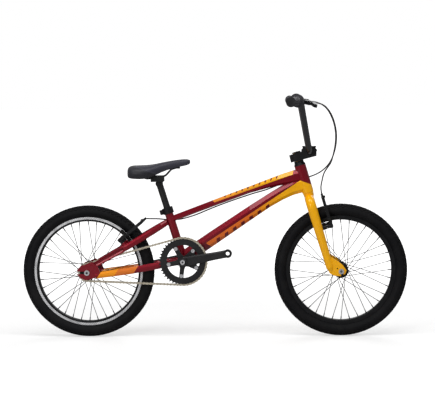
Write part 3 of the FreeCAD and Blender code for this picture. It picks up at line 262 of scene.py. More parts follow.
def group_noise(tree, source, scale, detail):
    node = tree.nodes.new("ShaderNodeTexNoise")
    tree.links.new(source.outputs["Position"], node.inputs["Vector"])
    tree.links.new(source.outputs[scale], node.inputs["Scale"])
    node.inputs["Detail"].default_value = detail
    return node.outputs[0]


cloud = group_noise(wear, wear_in, "Cloud Scale", 4.0)
speckle = group_noise(wear, wear_in, "Speckle Scale", 2.0)
patchy = wear.nodes.new("ShaderNodeMapRange")
patchy.inputs["From Min"].default_value = 0.42
patchy.inputs["From Max"].default_value = 0.74
wear.links.new(cloud, patchy.inputs["Value"])
lifted_speckle = math_node(wear, "ADD", speckle, 0.5)
both_noises = math_node(wear, "MULTIPLY", patchy.outputs["Result"], lifted_speckle)
share = math_node(wear, "MULTIPLY", both_noises, wear_in.outputs["Amount"], clamp=True)
tint = wear.nodes.new("ShaderNodeMix")
tint.data_type = "RGBA"
wear.links.new(share, tint.inputs[0])
wear.links.new(wear_in.outputs["Color"], tint.inputs[6])
wear.links.new(wear_in.outputs["Worn Color"], tint.inputs[7])
wear.links.new(tint.outputs[2], wear_out.inputs["Color"])
rougher = math_node(wear, "MULTIPLY", share, 0.25)
wear.links.new(math_node(wear, "ADD", rougher, wear_in.outputs["Roughness"], clamp=True),
               wear_out.inputs["Roughness"])
wear.links.new(speckle, wear_out.inputs["Height"])
print("group", wear.name)


def worn_finish(name, color, worn_color, roughness, metallic=0.0, coat=0.0, amount=0.3,
                cloud_scale=14.0, speckle_scale=900.0, bump=0.08, bump_distance=0.0004,
                specular=0.5):
    """A plain finish with its colour, roughness and bump varied by handling wear."""
    finish = Finish(name, color, metallic, roughness, coat)
    finish.shader.inputs["Specular IOR Level"].default_value = specular
    varied = finish.effect(wear, Color=color, Worn_Color=worn_color, Roughness=roughness,
                           Amount=amount, Cloud_Scale=cloud_scale, Speckle_Scale=speckle_scale)
    finish.feed(Base_Color=varied.outputs["Color"], Roughness=varied.outputs["Roughness"])
    finish.bump(varied.outputs["Height"], bump, bump_distance)
    finish.varied = varied
    return finish


# %% [markdown]
# ## Paint
# The frame is a candy red: a silver base under clear tinted lacquer. A partly metallic base with
# a light clear coat gives the same two layers, a deep colour that still flashes along the tubes.
# The yellow and orange are solid colours under the same lacquer. The blends and bars on the
# down tube, top tube, head tube and chainstays are masked with tape edges; the row of bars is
# a plain pattern with no letters in it.

# %% Paint
candy_red = (0.215, 0.002, 0.012)
deep_red = (0.120, 0.004, 0.012)
sun_yellow = (1.0, 0.47, 0.001)
warm_orange = (0.72, 0.15, 0.014)
mark_red = (0.14, 0.012, 0.012)
candy_metallic = 0.4
solid_metallic = 0.05


def side_direction(degrees):
    """A direction in the bike's side plane, this far above forwards."""
    angle = math.radians(degrees)
    return (math.cos(angle), 0, math.sin(angle))


def edge(finish, degrees, through, softness=0.0008):
    """A mask that is 1 past the point (x, z), looking this way in the side plane."""
    direction = side_direction(degrees)
    distance = direction[0] * through[0] + direction[2] * through[1]
    taped = finish.effect(tape_edge, Direction=direction, Distance=distance, Softness=softness)
    return taped.outputs["Mask"]


def blend_colors(finish, mask, first, second):
    node = finish.tree.nodes.new("ShaderNodeMix")
    node.data_type = "RGBA"
    for slot_number, value in ((0, mask), (6, first), (7, second)):
        if isinstance(value, bpy.types.NodeSocket):
            finish.tree.links.new(value, node.inputs[slot_number])
        else:
            node.inputs[slot_number].default_value = (*value, 1)
    return node.outputs[2]


def all_of(finish, *masks):
    product = masks[0]
    for mask in masks[1:]:
        product = math_node(finish.tree, "MULTIPLY", product, mask)
    return product


def paint(name, color=candy_red, metallic=candy_metallic):
    """Tinted or solid lacquer under a clear coat."""
    worn_color = tuple(0.75 * c + 0.02 for c in color)
    finish = worn_finish(name, color, worn_color, roughness=0.3, metallic=metallic, coat=0.4,
                         amount=0.25, cloud_scale=9.0, speckle_scale=2600.0, bump=0.05,
                         bump_distance=0.0002, specular=0.1)
    finish.shader.inputs["Coat Roughness"].default_value = 0.05
    return finish


def repaint(finish, color, metallic_mask=None):
    """Puts a masked colour in place of the paint's plain one."""
    for link in list(finish.tree.links):
        if link.to_socket == finish.varied.inputs["Color"]:
            finish.tree.links.remove(link)
    finish.tree.links.new(color, finish.varied.inputs["Color"])
    if metallic_mask is not None:
        less = math_node(finish.tree, "MULTIPLY", metallic_mask, solid_metallic - candy_metallic)
        finish.feed(Metallic=math_node(finish.tree, "ADD", less, candy_metallic, clamp=True))
    return finish


red_paint = paint("red_paint")
yellow_paint = paint("yellow_paint", sun_yellow, solid_metallic)
print("plain paints:", red_paint.material.name, yellow_paint.material.name)

# %% [markdown]
# ## The down tube's colour band
# The lower side of the big tube is orange near the cranks and turns yellow at the head, below a
# straight border. Short dark bars slant along it at an even pitch. A sawtooth along the tube
# makes the bars: its fraction is compared with a width, and two borders trim their ends.

# %% The down tube's colour band
down_angle = 33.2
border = (0.195, 0.503)
down_paint = paint("down_tube_paint")


def bars(finish, slope, through, pitch, width, lean, low, high):
    """Slanted bars at an even pitch along a line, trimmed to a strip beside it."""
    tilted = side_direction(slope + lean)
    offset = tilted[0] * through[0] + tilted[2] * through[1]
    dot = finish.tree.nodes.new("ShaderNodeVectorMath")
    dot.operation = "DOT_PRODUCT"
    finish.tree.links.new(finish.position, dot.inputs[0])
    dot.inputs[1].default_value = tilted
    travelled = math_node(finish.tree, "SUBTRACT", dot.outputs["Value"], offset)
    steps = math_node(finish.tree, "DIVIDE", travelled, pitch)
    fraction = math_node(finish.tree, "FRACT", steps)
    inside = math_node(finish.tree, "LESS_THAN", fraction, width / pitch)
    across = math.radians(slope + 90)
    shift = (math.cos(across), math.sin(across))
    bottom = (through[0] + shift[0] * low, through[1] + shift[1] * low)
    top = (through[0] + shift[0] * high, through[1] + shift[1] * high)
    above_bottom = edge(finish, slope + 90, bottom)
    below_top = edge(finish, slope - 90, top)
    return all_of(finish, inside, above_bottom, below_top)


below_border = edge(down_paint, down_angle - 90, border)
toward_head = edge(down_paint, down_angle, (0.205, 0.490), 0.16)
band_color = blend_colors(down_paint, toward_head, warm_orange, sun_yellow)
band_start = edge(down_paint, down_angle + 24, (-0.040, 0.362))
bar_zone = all_of(down_paint, edge(down_paint, down_angle, (-0.020, 0.375)),
                  edge(down_paint, down_angle + 180, (0.222, 0.505)))
bar_row = bars(down_paint, down_angle, border, pitch=0.0340, width=0.0140, lean=-24,
               low=-0.034, high=-0.0085)
bar_mask = all_of(down_paint, bar_zone, bar_row)
band_color = blend_colors(down_paint, bar_mask, band_color, mark_red)
outline_width = 0.0035
outline = edge(down_paint, down_angle - 90, (border[0], border[1] + outline_width))
lined = blend_colors(down_paint, outline, candy_red, deep_red)
band_mask = all_of(down_paint, below_border, band_start)
repaint(down_paint, blend_colors(down_paint, band_mask, lined, band_color), band_mask)
print("down tube border leans", down_angle, "degrees")

# %% [markdown]
# ## Top tube, head tube and chainstays
# The top tube carries a thin strip along its upper edge, orange turning yellow towards the
# head, with small dark ticks. The head
# tube is dipped in yellow at its foot, where it meets the fork. Each chainstay is red at the
# axle, then yellow, orange and red again, with slanted edges between the blocks.

# %% Top tube, head tube and chainstays
top_paint = paint("top_tube_paint")
strip_line = (0.1250, 0.5510)
strip_slope = 19.3
strip_mask = all_of(top_paint, edge(top_paint, strip_slope + 90, strip_line),
                    edge(top_paint, strip_slope + 30, (0.000, 0.512)),
                    edge(top_paint, strip_slope + 150, (0.300, 0.620)))
strip_orange = (0.86, 0.30, 0.03)
tick_mask = bars(top_paint, strip_slope, strip_line, pitch=0.0195, width=0.0052, lean=-32,
                 low=0.0060, high=0.0150)
strip_zone = all_of(top_paint, edge(top_paint, strip_slope, (0.030, 0.530)),
                    edge(top_paint, strip_slope + 180, (0.245, 0.605)))
forward_fade = edge(top_paint, strip_slope, (0.12, 0.56), 0.2)
strip_color = blend_colors(top_paint, forward_fade, strip_orange, sun_yellow)
tick_zone = all_of(top_paint, tick_mask, strip_zone)
strip_color = blend_colors(top_paint, tick_zone, strip_color, mark_red)
repaint(top_paint, blend_colors(top_paint, strip_mask, candy_red, strip_color), strip_mask)

head_paint = paint("head_tube_paint")
head_dip = edge(head_paint, -110.5, (0.3475, 0.5815))
repaint(head_paint, blend_colors(head_paint, head_dip, candy_red, sun_yellow), head_dip)

stay_paint = paint("chainstay_paint")
red_part = edge(stay_paint, -33, (-0.300, 0.250))
orange_part = edge(stay_paint, -33, (-0.372, 0.243))
rear_red = edge(stay_paint, 147, (-0.437, 0.235))
stay_yellow = (1.0, 0.34, 0.006)
stay_orange = (0.80, 0.20, 0.02)
stay_color = blend_colors(stay_paint, orange_part, stay_yellow, stay_orange)
stay_color = blend_colors(stay_paint, red_part, stay_color, candy_red)
stay_color = blend_colors(stay_paint, rear_red, stay_color, candy_red)
candy_part = math_node(stay_paint.tree, "MAXIMUM", red_part, rear_red)
solid_part = math_node(stay_paint.tree, "SUBTRACT", 1.0, candy_part)
repaint(stay_paint, stay_color, solid_part)
print("masked paints done")

# %% [markdown]
# ## Metals
# Most of the metal is black: forged cranks with a satin powder coat, smooth anodised parts and
# glossier bar tubes. They differ in roughness and in how much they shine, hardly in colour, so
# each gets its own values of the same wear group. The bright parts are brushed or polished.

# %% Metals
satin_black = worn_finish(
    "satin_black_coat", (0.007, 0.007, 0.008), (0.018, 0.018, 0.020), roughness=0.38, coat=0.1,
    amount=0.5, cloud_scale=22, speckle_scale=1500, bump=0.12, specular=0.3)
bar_black = worn_finish(
    "gloss_black_tube", (0.009, 0.009, 0.011), (0.020, 0.020, 0.023), roughness=0.32, coat=0.25,
    amount=0.35, cloud_scale=12, speckle_scale=1900, bump=0.05, specular=0.35)
anodised_black = worn_finish(
    "black_anodised", (0.006, 0.006, 0.007), (0.018, 0.018, 0.020), roughness=0.4, metallic=0.3,
    amount=0.5, cloud_scale=30, speckle_scale=2200, bump=0.1, specular=0.3)
bright_alloy = worn_finish(
    "bright_alloy", (0.62, 0.62, 0.64), (0.42, 0.42, 0.44), roughness=0.28, metallic=1.0,
    amount=0.5, cloud_scale=60, speckle_scale=1800, bump=0.06)
bare_steel = worn_finish(
    "bare_steel", (0.45, 0.45, 0.47), (0.30, 0.29, 0.28), roughness=0.34, metallic=1.0,
    amount=0.5, cloud_scale=50, speckle_scale=1800, bump=0.06)
black_steel = worn_finish(
    "black_spoke_steel", (0.012, 0.012, 0.014), (0.03, 0.03, 0.032), roughness=0.4, metallic=0.4,
    amount=0.5, cloud_scale=40, speckle_scale=1600, bump=0.05, specular=0.3)
chain_steel = worn_finish(
    "oiled_chain_steel", (0.66, 0.60, 0.48), (0.20, 0.16, 0.12), roughness=0.30, metallic=0.9,
    amount=0.9, cloud_scale=160, speckle_scale=2400, bump=0.12)
black_plastic = worn_finish(
    "moulded_black_plastic", (0.008, 0.008, 0.009), (0.018, 0.018, 0.02), roughness=0.55,
    amount=0.4, cloud_scale=20, speckle_scale=2600, bump=0.25, specular=0.25)
pad_rubber = worn_finish(
    "brake_pad_rubber", (0.010, 0.010, 0.010), (0.03, 0.029, 0.027), roughness=0.8,
    amount=0.6, cloud_scale=45, speckle_scale=1400, bump=0.3, specular=0.2)
tube_rubber = worn_finish(
    "inner_tube_rubber", (0.008, 0.008, 0.008), (0.02, 0.02, 0.02), roughness=0.7,
    amount=0.4, cloud_scale=25, speckle_scale=1200, bump=0.2, specular=0.2)
plain_finishes = (satin_black, bar_black, anodised_black, bright_alloy, bare_steel, black_steel,
                  chain_steel, black_plastic, pad_rubber, tube_rubber)
print("plain metals, plastics and rubbers:", len(plain_finishes))

# %% [markdown]
# ## The rear rim
# The rear rim has a machined brake track: a bright ring with fine slanted tool marks, above a
# black box section. The distance from the axle picks the ring, which is simplest as the length
# of the position with the axle taken away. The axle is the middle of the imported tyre's box. The
# front rim takes the same finish with a nearly black track.

# %% The rear rim
rear_tyre_low, rear_tyre_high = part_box("rear_tyre")
front_tyre_low, front_tyre_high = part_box("front_tyre")
rear_centre = (rear_tyre_low + rear_tyre_high) / 2
front_centre = (front_tyre_low + front_tyre_high) / 2


def from_axle(finish, centre):
    """The position from a wheel's axle, and its distance from the axle's line."""
    shift = finish.tree.nodes.new("ShaderNodeMapping")
    finish.tree.links.new(finish.position, shift.inputs["Vector"])
    shift.inputs["Location"].default_value = (-centre.x, 0, -centre.z)
    flat = finish.tree.nodes.new("ShaderNodeVectorMath")
    flat.operation = "MULTIPLY"
    finish.tree.links.new(shift.outputs["Vector"], flat.inputs[0])
    flat.inputs[1].default_value = (1, 0, 1)
    length = finish.tree.nodes.new("ShaderNodeVectorMath")
    length.operation = "LENGTH"
    finish.tree.links.new(flat.outputs["Vector"], length.inputs[0])
    return shift.outputs["Vector"], length.outputs["Value"]


def around_axle(finish, local, turns):
    """Counts round the wheel: the angle about the axle times turns, in full circles."""
    split = finish.tree.nodes.new("ShaderNodeSeparateXYZ")
    finish.tree.links.new(local, split.inputs["Vector"])
    angle = math_node(finish.tree, "ARCTAN2", split.outputs["Z"], split.outputs["X"])
    return math_node(finish.tree, "MULTIPLY", angle, turns / (2 * math.pi))


rim_black = (0.007, 0.007, 0.008)
tool_marks = 150
mark_slant = 130
mark_share = 0.13
mark_dim = 0.45
rim_metallic = 0.5
track_metallic = 0.35


def machined_rim(name, centre, track_from, bright):
    """A black rim whose outer ring, past this radius, is cut metal with slanted tool marks."""
    finish = worn_finish(name, rim_black, (0.018, 0.018, 0.02), roughness=0.38,
                         metallic=rim_metallic, amount=0.5, cloud_scale=30, speckle_scale=2000,
                         bump=0.08, specular=0.3)
    local, radius = from_axle(finish, centre)
    track = math_node(finish.tree, "GREATER_THAN", radius, track_from)
    turn = around_axle(finish, local, tool_marks)
    slanted = math_node(finish.tree, "MULTIPLY", radius, mark_slant)
    skewed = math_node(finish.tree, "ADD", turn, slanted)
    hatch = math_node(finish.tree, "PINGPONG", skewed, 0.5)
    mark = math_node(finish.tree, "LESS_THAN", hatch, mark_share)
    light = blend_colors(finish, mark, bright, tuple(mark_dim * c for c in bright))
    repaint(finish, blend_colors(finish, track, rim_black, light))
    shine = math_node(finish.tree, "MULTIPLY", track, track_metallic)
    finish.feed(Metallic=math_node(finish.tree, "ADD", shine, rim_metallic))
    return finish


rear_rim_finish = machined_rim("machined_rear_rim", rear_centre, 0.1975, (0.80, 0.80, 0.82))
front_rim_finish = machined_rim("black_front_rim", front_centre, 0.2052, (0.014, 0.014, 0.016))
print("rims about", [round(c.x, 4) for c in (rear_centre, front_centre)])

# %% [markdown]
# ## Axle ends
# Each axle ends in a bright nut, and the threaded end of the axle sits in it, painted dark as
# shade.
# The distance from the axle's own line tells the two apart on one node.

# %% Axle ends
nut_silver = (0.62, 0.62, 0.64)
# A dark colour painted as the shade inside the nut's hole and the bolt's socket.
painted_recess_shade = (0.03, 0.03, 0.03)
axle_thread_radius = 0.0047


def axle_metal(name, centre):
    finish = worn_finish(name, nut_silver, (0.42, 0.42, 0.44), roughness=0.3, metallic=1.0,
                         amount=0.5, cloud_scale=60, speckle_scale=1800, bump=0.06)
    radius = from_axle(finish, centre)[1]
    # The axle end inside this radius is painted dark as the shade in the nut's hole.
    core = math_node(finish.tree, "LESS_THAN", radius, axle_thread_radius)
    repaint(finish, blend_colors(finish, core, nut_silver, painted_recess_shade))
    return finish


rear_axle_metal = axle_metal("rear_axle_metal", rear_centre)
front_axle_metal = axle_metal("front_axle_metal", front_centre)
print("axle ends are dark inside", axle_thread_radius)

# %% [markdown]
# ## Crank bolts
# Each crank is held on by one bright bolt in a wide black washer, with a socket for a key. They
# are one turned shape on the imported spindle, so its distance from the crank's axis picks the
# metal: bright on the bolt's face, black on the washer round it, and painted shade inside its
# socket.

# %% Crank bolts
spindle_low, spindle_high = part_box("crank_spindle")
crank_centre = (spindle_low + spindle_high) / 2
bolt_silver = (0.7, 0.7, 0.72)
washer_black = (0.008, 0.008, 0.009)
bolt_head_radius = 0.0085
bolt_socket_radius = 0.0040
crank_bolt_metal = worn_finish(
    "crank_bolt_metal", bolt_silver, (0.45, 0.45, 0.47), roughness=0.3, metallic=0.8,
    amount=0.4, cloud_scale=60, speckle_scale=1800, bump=0.06)
bolt_radius = from_axle(crank_bolt_metal, crank_centre)[1]
bolt_face = math_node(crank_bolt_metal.tree, "LESS_THAN", bolt_radius, bolt_head_radius)
bolt_socket = math_node(crank_bolt_metal.tree, "LESS_THAN", bolt_radius, bolt_socket_radius)
bolt_color = blend_colors(crank_bolt_metal, bolt_face, washer_black, bolt_silver)
# The socket inside this radius is painted dark as its shade.
bolt_color = blend_colors(crank_bolt_metal, bolt_socket, bolt_color, painted_recess_shade)
repaint(crank_bolt_metal, bolt_color)
print("crank centre", [round(v, 4) for v in crank_centre])

# %% [markdown]
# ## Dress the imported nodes
# A node whose shape is right keeps it and only needs its finish. One table pairs every finish
# with the nodes that take it, so a missing node shows up at once.

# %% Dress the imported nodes
dressing = {
    red_paint: ["seat_tube", "bottom_bracket_shell", "seatstays", "rear_dropouts",
                "rear_brake_bosses"],
    down_paint: ["down_tube"],
    top_paint: ["top_tube"],
    head_paint: ["head_tube"],
    stay_paint: ["chainstays"],
    yellow_paint: ["fork_crown", "fork_legs", "fork_dropouts"],
    satin_black: ["crank_arm_right", "crank_arm_left", "chainring", "seatpost"],
    bar_black: ["handlebar", "crossbar"],
    anodised_black: ["front_hub", "rear_hub", "stem_body", "stem_cap", "headset_cover",
                     "seat_clamp", "front_brake_arm_right", "front_brake_arm_left",
                     "rear_brake_arm_right", "rear_brake_arm_left", "brake_lever_right",
                     "brake_lever_left", "lever_perches", "rail_clamp", "freewheel",
                     "stem_bolts", "front_brake_bosses"],
    crank_bolt_metal: ["crank_spindle"],
    rear_rim_finish: ["rear_rim"],
    front_rim_finish: ["front_rim"],
    bright_alloy: ["chainring_bolts"],
    rear_axle_metal: ["rear_axle"],
    front_axle_metal: ["front_axle"],
    bare_steel: ["headset_bearings", "bottom_bracket_bearings"],
    black_steel: ["front_spokes", "rear_spokes", "saddle_rails"],
    chain_steel: ["chain"],
    black_plastic: ["saddle_base"],
    tube_rubber: ["front_inner_tube", "rear_inner_tube"],
    pad_rubber: ["front_brake_pad_right", "front_brake_pad_left", "rear_brake_pad_right",
                 "rear_brake_pad_left"],
}
for finish, names in dressing.items():
    for name in names:
        give_finish(nodes[name], finish.material)
print(sum(len(names) for names in dressing.values()), "nodes dressed")

# %% [markdown]
# ## The floor's finish
# The floor is a matt white sweep with the faintest mottling, so that it takes soft shadows. A
# studio sweep is lit so strongly behind the object that its far end has no horizon. Far from
# the bike the floor therefore glows by itself, and near the wheels it glows half as much.
# Only the camera sees the glow, so it puts no false light on the underside of the tubes.

# %% The floor's finish
sweep_paint = worn_finish("white_sweep", (0.55, 0.55, 0.55), (0.53, 0.53, 0.53), roughness=0.75,
                          cloud_scale=3, speckle_scale=60, bump=0.02, specular=0.1)
give_finish(floor, sweep_paint.material)
reach = sweep_paint.add("ShaderNodeVectorMath")
reach.operation = "LENGTH"
sweep_paint.tree.links.new(sweep_paint.position, reach.inputs[0])
glow_from = 0.9
glow_full = 2.4
glow_near = 0.5
glow = sweep_paint.add("ShaderNodeMapRange", Value=reach.outputs["Value"], From_Min=glow_from,
                       From_Max=glow_full, To_Min=glow_near)
seen = sweep_paint.add("ShaderNodeLightPath").outputs["Is Camera Ray"]
seen_glow = math_node(sweep_paint.tree, "MULTIPLY", glow.outputs["Result"], seen)
sweep_paint.feed(Emission_Strength=seen_glow)
sweep_paint.shader.inputs["Emission Color"].default_value = (1, 1, 1, 1)
print("floor glows fully past", glow_full, "m")

# %% [markdown]
# ## Tyres
# A street tyre is a round casing with a low block tread on its crown and smooth walls with a few
# fine ribs. The casing is one profile spun about the axle. The blocks repeat hundreds of times,
# so each is a small bevelled brick with a few faces. Seven rows of them lie side by side over
# the crown, and those off the middle lean to make a herringbone. The tread's outermost face
# reaches the rolling radius.

# %% Tyres
tyre_radius = rear_tyre_high.z - rear_centre.z
casing_radius = rear_tyre_high.y
ring_radius = tyre_radius - casing_radius
tread_height = 0.0022
casing_wall = 0.003
bead_radius = 0.2040
bead_half = 0.0101
crown_half_angle = 146
outside_points = 33
rib_height = 0.0005
rib_points = (5, 6, 8, 24, 26, 27)
print("tyre radius", round(tyre_radius, 4), "casing", round(casing_radius, 5))


def spin_profile(bm, points, steps, axis=(0, 1, 0), closed=True):
    """Spins a line of points (radius, along the axis) all the way round."""
    verts = [bm.verts.new((radius, y, 0)) for radius, y in points]
    pairs = list(zip(verts, verts[1:]))
    if closed:
        pairs.append((verts[-1], verts[0]))
    edges = [bm.edges.new(pair) for pair in pairs]
    bmesh.ops.spin(bm, geom=verts + edges, cent=(0, 0, 0), axis=axis, angle=2 * math.pi,
                   steps=steps, use_merge=True)
    bmesh.ops.remove_doubles(bm, verts=bm.verts, dist=1e-6)
    bmesh.ops.recalc_face_normals(bm, faces=bm.faces)


def casing_profile(outer, wall):
    """The casing's section: crown, ribbed walls, beads, then back along the inside."""
    outside = []
    for i in range(outside_points):
        sweep = 2 * crown_half_angle * i / (outside_points - 1)
        angle = math.radians(sweep - crown_half_angle)
        size = outer + (rib_height if i in rib_points else 0.0)
        outside.append((ring_radius + size * math.cos(angle), size * math.sin(angle)))
    inside = [(ring_radius + (outer - wall) * math.cos(math.radians(a)),
               (outer - wall) * math.sin(math.radians(a))) for a in range(144, -145, -12)]
    right_bead = [(bead_radius, bead_half), (bead_radius, bead_half - wall)]
    left_bead = [(bead_radius, wall - bead_half), (bead_radius, -bead_half)]
    return outside + right_bead + inside + left_bead


def turn_mesh(bm, angle, axis):
    """Turns a whole bmesh about one axis through the origin."""
    bmesh.ops.rotate(bm, cent=(0, 0, 0), matrix=Matrix.Rotation(angle, 3, axis), verts=bm.verts)


def tread_block(bm, turn, slant, around, across, lean):
    """One bevelled tread brick, set on the casing at an angle round and across the tyre."""
    brick = bmesh.new()
    bmesh.ops.create_cube(brick, size=1)
    bmesh.ops.scale(brick, vec=(tread_height * 2, across, around), verts=brick.verts)
    top = [e for e in brick.edges if all(v.co.x > 0 for v in e.verts)]
    bmesh.ops.bevel(brick, geom=top, offset=block_bevel, segments=1, profile=0.5,
                    affect="EDGES", material=-1)
    turn_mesh(brick, lean, "X")
    bmesh.ops.translate(brick, vec=(casing_radius - tread_height, 0, 0), verts=brick.verts)
    turn_mesh(brick, slant, "Z")
    bmesh.ops.translate(brick, vec=(ring_radius, 0, 0), verts=brick.verts)
    turn_mesh(brick, turn, "Y")
    mesh = bpy.data.meshes.new("brick")
    brick.to_mesh(mesh)
    brick.free()
    bm.from_mesh(mesh)
    bpy.data.meshes.remove(mesh)


# One entry per row of blocks: degrees across the crown, width, lean, and half steps round.
tread_rows = ((0, 0.0075, 0, 0),
              (19, 0.0062, 0.45, 1), (-19, 0.0062, -0.45, 1),
              (38, 0.0062, -0.45, 0), (-38, 0.0062, 0.45, 0),
              (55, 0.0050, 0.25, 1), (-55, 0.0050, -0.25, 1))
blocks_per_row = 84
block_length = 0.0118
block_bevel = 0.0006
smooth_above_area = 2.2e-5


def make_tyre(name, centre, body, old_node):
    casing = bmesh.new()
    spin_profile(casing, casing_profile(casing_radius - tread_height, casing_wall), 160)
    blocks = bmesh.new()
    half_step = math.pi / blocks_per_row
    for i in range(blocks_per_row):
        turn = 2 * math.pi * i / blocks_per_row
        for slant, width, lean, shift in tread_rows:
            tread_block(blocks, turn + half_step * shift, math.radians(slant), block_length,
                        width, lean)
    mesh = bpy.data.meshes.new("blocks")
    blocks.to_mesh(mesh)
    blocks.free()
    casing.from_mesh(mesh)
    bpy.data.meshes.remove(mesh)
    bmesh.ops.translate(casing, vec=centre, verts=casing.verts)
    tyre = mesh_object(name, casing, smooth=False)
    for face in tyre.data.polygons:
        face.use_smooth = len(face.vertices) == 4 and face.area > smooth_above_area
    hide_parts(old_node)
    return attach(tyre, body)


front_tyre = make_tyre("front_tyre_treaded", front_centre, "front_wheel", "front_tyre")
rear_tyre = make_tyre("rear_tyre_treaded", rear_centre, "rear_wheel", "rear_tyre")
print("tyre faces", len(front_tyre.data.polygons))

# %% [markdown]
# ## Tyre rubber
# Tyre rubber is nearly black and dull. Its walls catch light in fine moulded rings, and dust
# settles between the blocks. Rings follow the distance from the axle; the dust is the wear
# group turned up, and a bump of fine noise keeps the surface from looking like plastic.

# %% Tyre rubber
rings_per_metre = 700
wall_outer_radius = 0.236


def tyre_rubber(name, centre):
    finish = worn_finish(name, (0.005, 0.005, 0.006), (0.016, 0.015, 0.015), roughness=0.62,
                         amount=0.5, cloud_scale=26, speckle_scale=700, bump=0.3,
                         specular=0.12)
    radius = from_axle(finish, centre)[1]
    ring_count = math_node(finish.tree, "MULTIPLY", radius, rings_per_metre)
    rings = math_node(finish.tree, "PINGPONG", ring_count, 0.5)
    wall_only = math_node(finish.tree, "LESS_THAN", radius, wall_outer_radius)
    ring_height = math_node(finish.tree, "MULTIPLY", rings, wall_only)
    fine_grain = math_node(finish.tree, "MULTIPLY", finish.varied.outputs["Height"], 0.6)
    height = math_node(finish.tree, "ADD", ring_height, fine_grain)
    finish.bump(height, 0.35, 0.0005)
    return finish


give_finish(front_tyre, tyre_rubber("front_tyre_rubber", front_centre).material)
give_finish(rear_tyre, tyre_rubber("rear_tyre_rubber", rear_centre).material)
print("wall rings inside", wall_outer_radius)

# %% [markdown]
# ## Valves
# Each inner tube has a valve that stands through the rim towards the hub. Its stem is covered in
# rubber and its cap is black plastic, so one dark finish serves both. A stepped profile spun
# about its own axis is the quickest true shape for it.

# %% Valves
valve_foot_radius = 0.196


def make_valve(name, centre, angle, body):
    bm = bmesh.new()
    outline = [(0, -0.004), (0.0040, -0.004), (0.0040, 0.006), (0.0030, 0.007), (0.0030, 0.020),
               (0.0037, 0.0205), (0.0037, 0.033), (0.0030, 0.0345), (0, 0.0345)]
    spin_profile(bm, outline, 20, closed=False)
    turn_mesh(bm, math.radians(90), "X")
    bmesh.ops.translate(bm, vec=(0, 0, -valve_foot_radius), verts=bm.verts)
    turn_mesh(bm, angle, "Y")
    bmesh.ops.translate(bm, vec=centre, verts=bm.verts)
    bmesh.ops.recalc_face_normals(bm, faces=bm.faces)
    valve = give_finish(mesh_object(name, bm), black_plastic.material)
    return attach(valve, body)


front_valve = make_valve("front_valve", front_centre, math.radians(153), "front_wheel")
rear_valve = make_valve("rear_valve", rear_centre, math.radians(-122), "rear_wheel")
print("valves", front_valve.name, rear_valve.name)

# %% [markdown]
# ## Saddle
# A BMX saddle is foam under a stretched vinyl skin, wide and rounded at the back and long and
# narrow at the nose, with its rim drawn under the shell. A row of sections lofted along X and
# then subdivided gives one smooth skin. Each section is the same loop of points, wider or
# taller as the saddle needs, so the loops bridge cleanly.

# %% Saddle
# Half of the section, from the crest to the middle below, as shares of half width and height.
section_shape = [(0.0, 1.0), (0.30, 0.995), (0.56, 0.955), (0.78, 0.86), (0.93, 0.69),
                 (1.0, 0.46), (0.99, 0.24), (0.93, 0.06), (0.86, -0.06), (0.77, -0.02),
                 (0.68, 0.16), (0.34, 0.20), (0.0, 0.20)]
# One section per entry, back to front: x, half width, top, bottom.
stations = [(-0.3222, 0.030, 0.6365, 0.6150), (-0.3195, 0.050, 0.6440, 0.6085),
            (-0.3100, 0.0640, 0.6490, 0.6052), (-0.2950, 0.0705, 0.6500, 0.6040),
            (-0.2750, 0.0715, 0.6502, 0.6030), (-0.2500, 0.0680, 0.6512, 0.6042),
            (-0.2300, 0.0590, 0.6532, 0.6100), (-0.2120, 0.0475, 0.6565, 0.6180),
            (-0.1900, 0.0350, 0.6612, 0.6278), (-0.1650, 0.0268, 0.6655, 0.6360),
            (-0.1400, 0.0222, 0.6694, 0.6428), (-0.1150, 0.0194, 0.6722, 0.6472),
            (-0.0980, 0.0172, 0.6722, 0.6506), (-0.0905, 0.0130, 0.6706, 0.6535),
            (-0.0870, 0.0070, 0.6680, 0.6575)]


def section_loop(bm, x, half_width, top, bottom):
    tall = top - bottom
    right = [bm.verts.new((x, -y * half_width, bottom + tall * z)) for y, z in section_shape]
    left = [bm.verts.new((x, y * half_width, bottom + tall * z))
            for y, z in section_shape[-2:0:-1]]
    loop = right + left
    return loop, [bm.edges.new(pair) for pair in zip(loop, loop[1:] + loop[:1])]


saddle_mesh = bmesh.new()
loops = [section_loop(saddle_mesh, *station) for station in stations]
for (first, first_edges), (second, second_edges) in zip(loops, loops[1:]):
    bmesh.ops.bridge_loops(saddle_mesh, edges=first_edges + second_edges)
bmesh.ops.contextual_create(saddle_mesh, geom=loops[0][0])
bmesh.ops.contextual_create(saddle_mesh, geom=loops[-1][0])
bmesh.ops.recalc_face_normals(saddle_mesh, faces=saddle_mesh.faces)
bmesh.ops.triangulate(saddle_mesh, faces=[f for f in saddle_mesh.faces if len(f.verts) > 4])
saddle = mesh_object("saddle_skin", saddle_mesh)
rounder = saddle.modifiers.new("rounder", "SUBSURF")
rounder.levels = 3
rounder.render_levels = 3
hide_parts("saddle_cover")
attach(saddle, "saddle")
print("saddle skin", len(saddle.data.polygons), "faces before rounding")

# %% [markdown]
# ## Saddle vinyl
# The skin is a blue-black vinyl in two panels: a lighter top and a darker skirt round the back,
# below a seam that slopes down towards the nose. The seam is a thin groove where the panels
# meet, with a line of stitches. A fine cell pattern gives the leather-like grain.

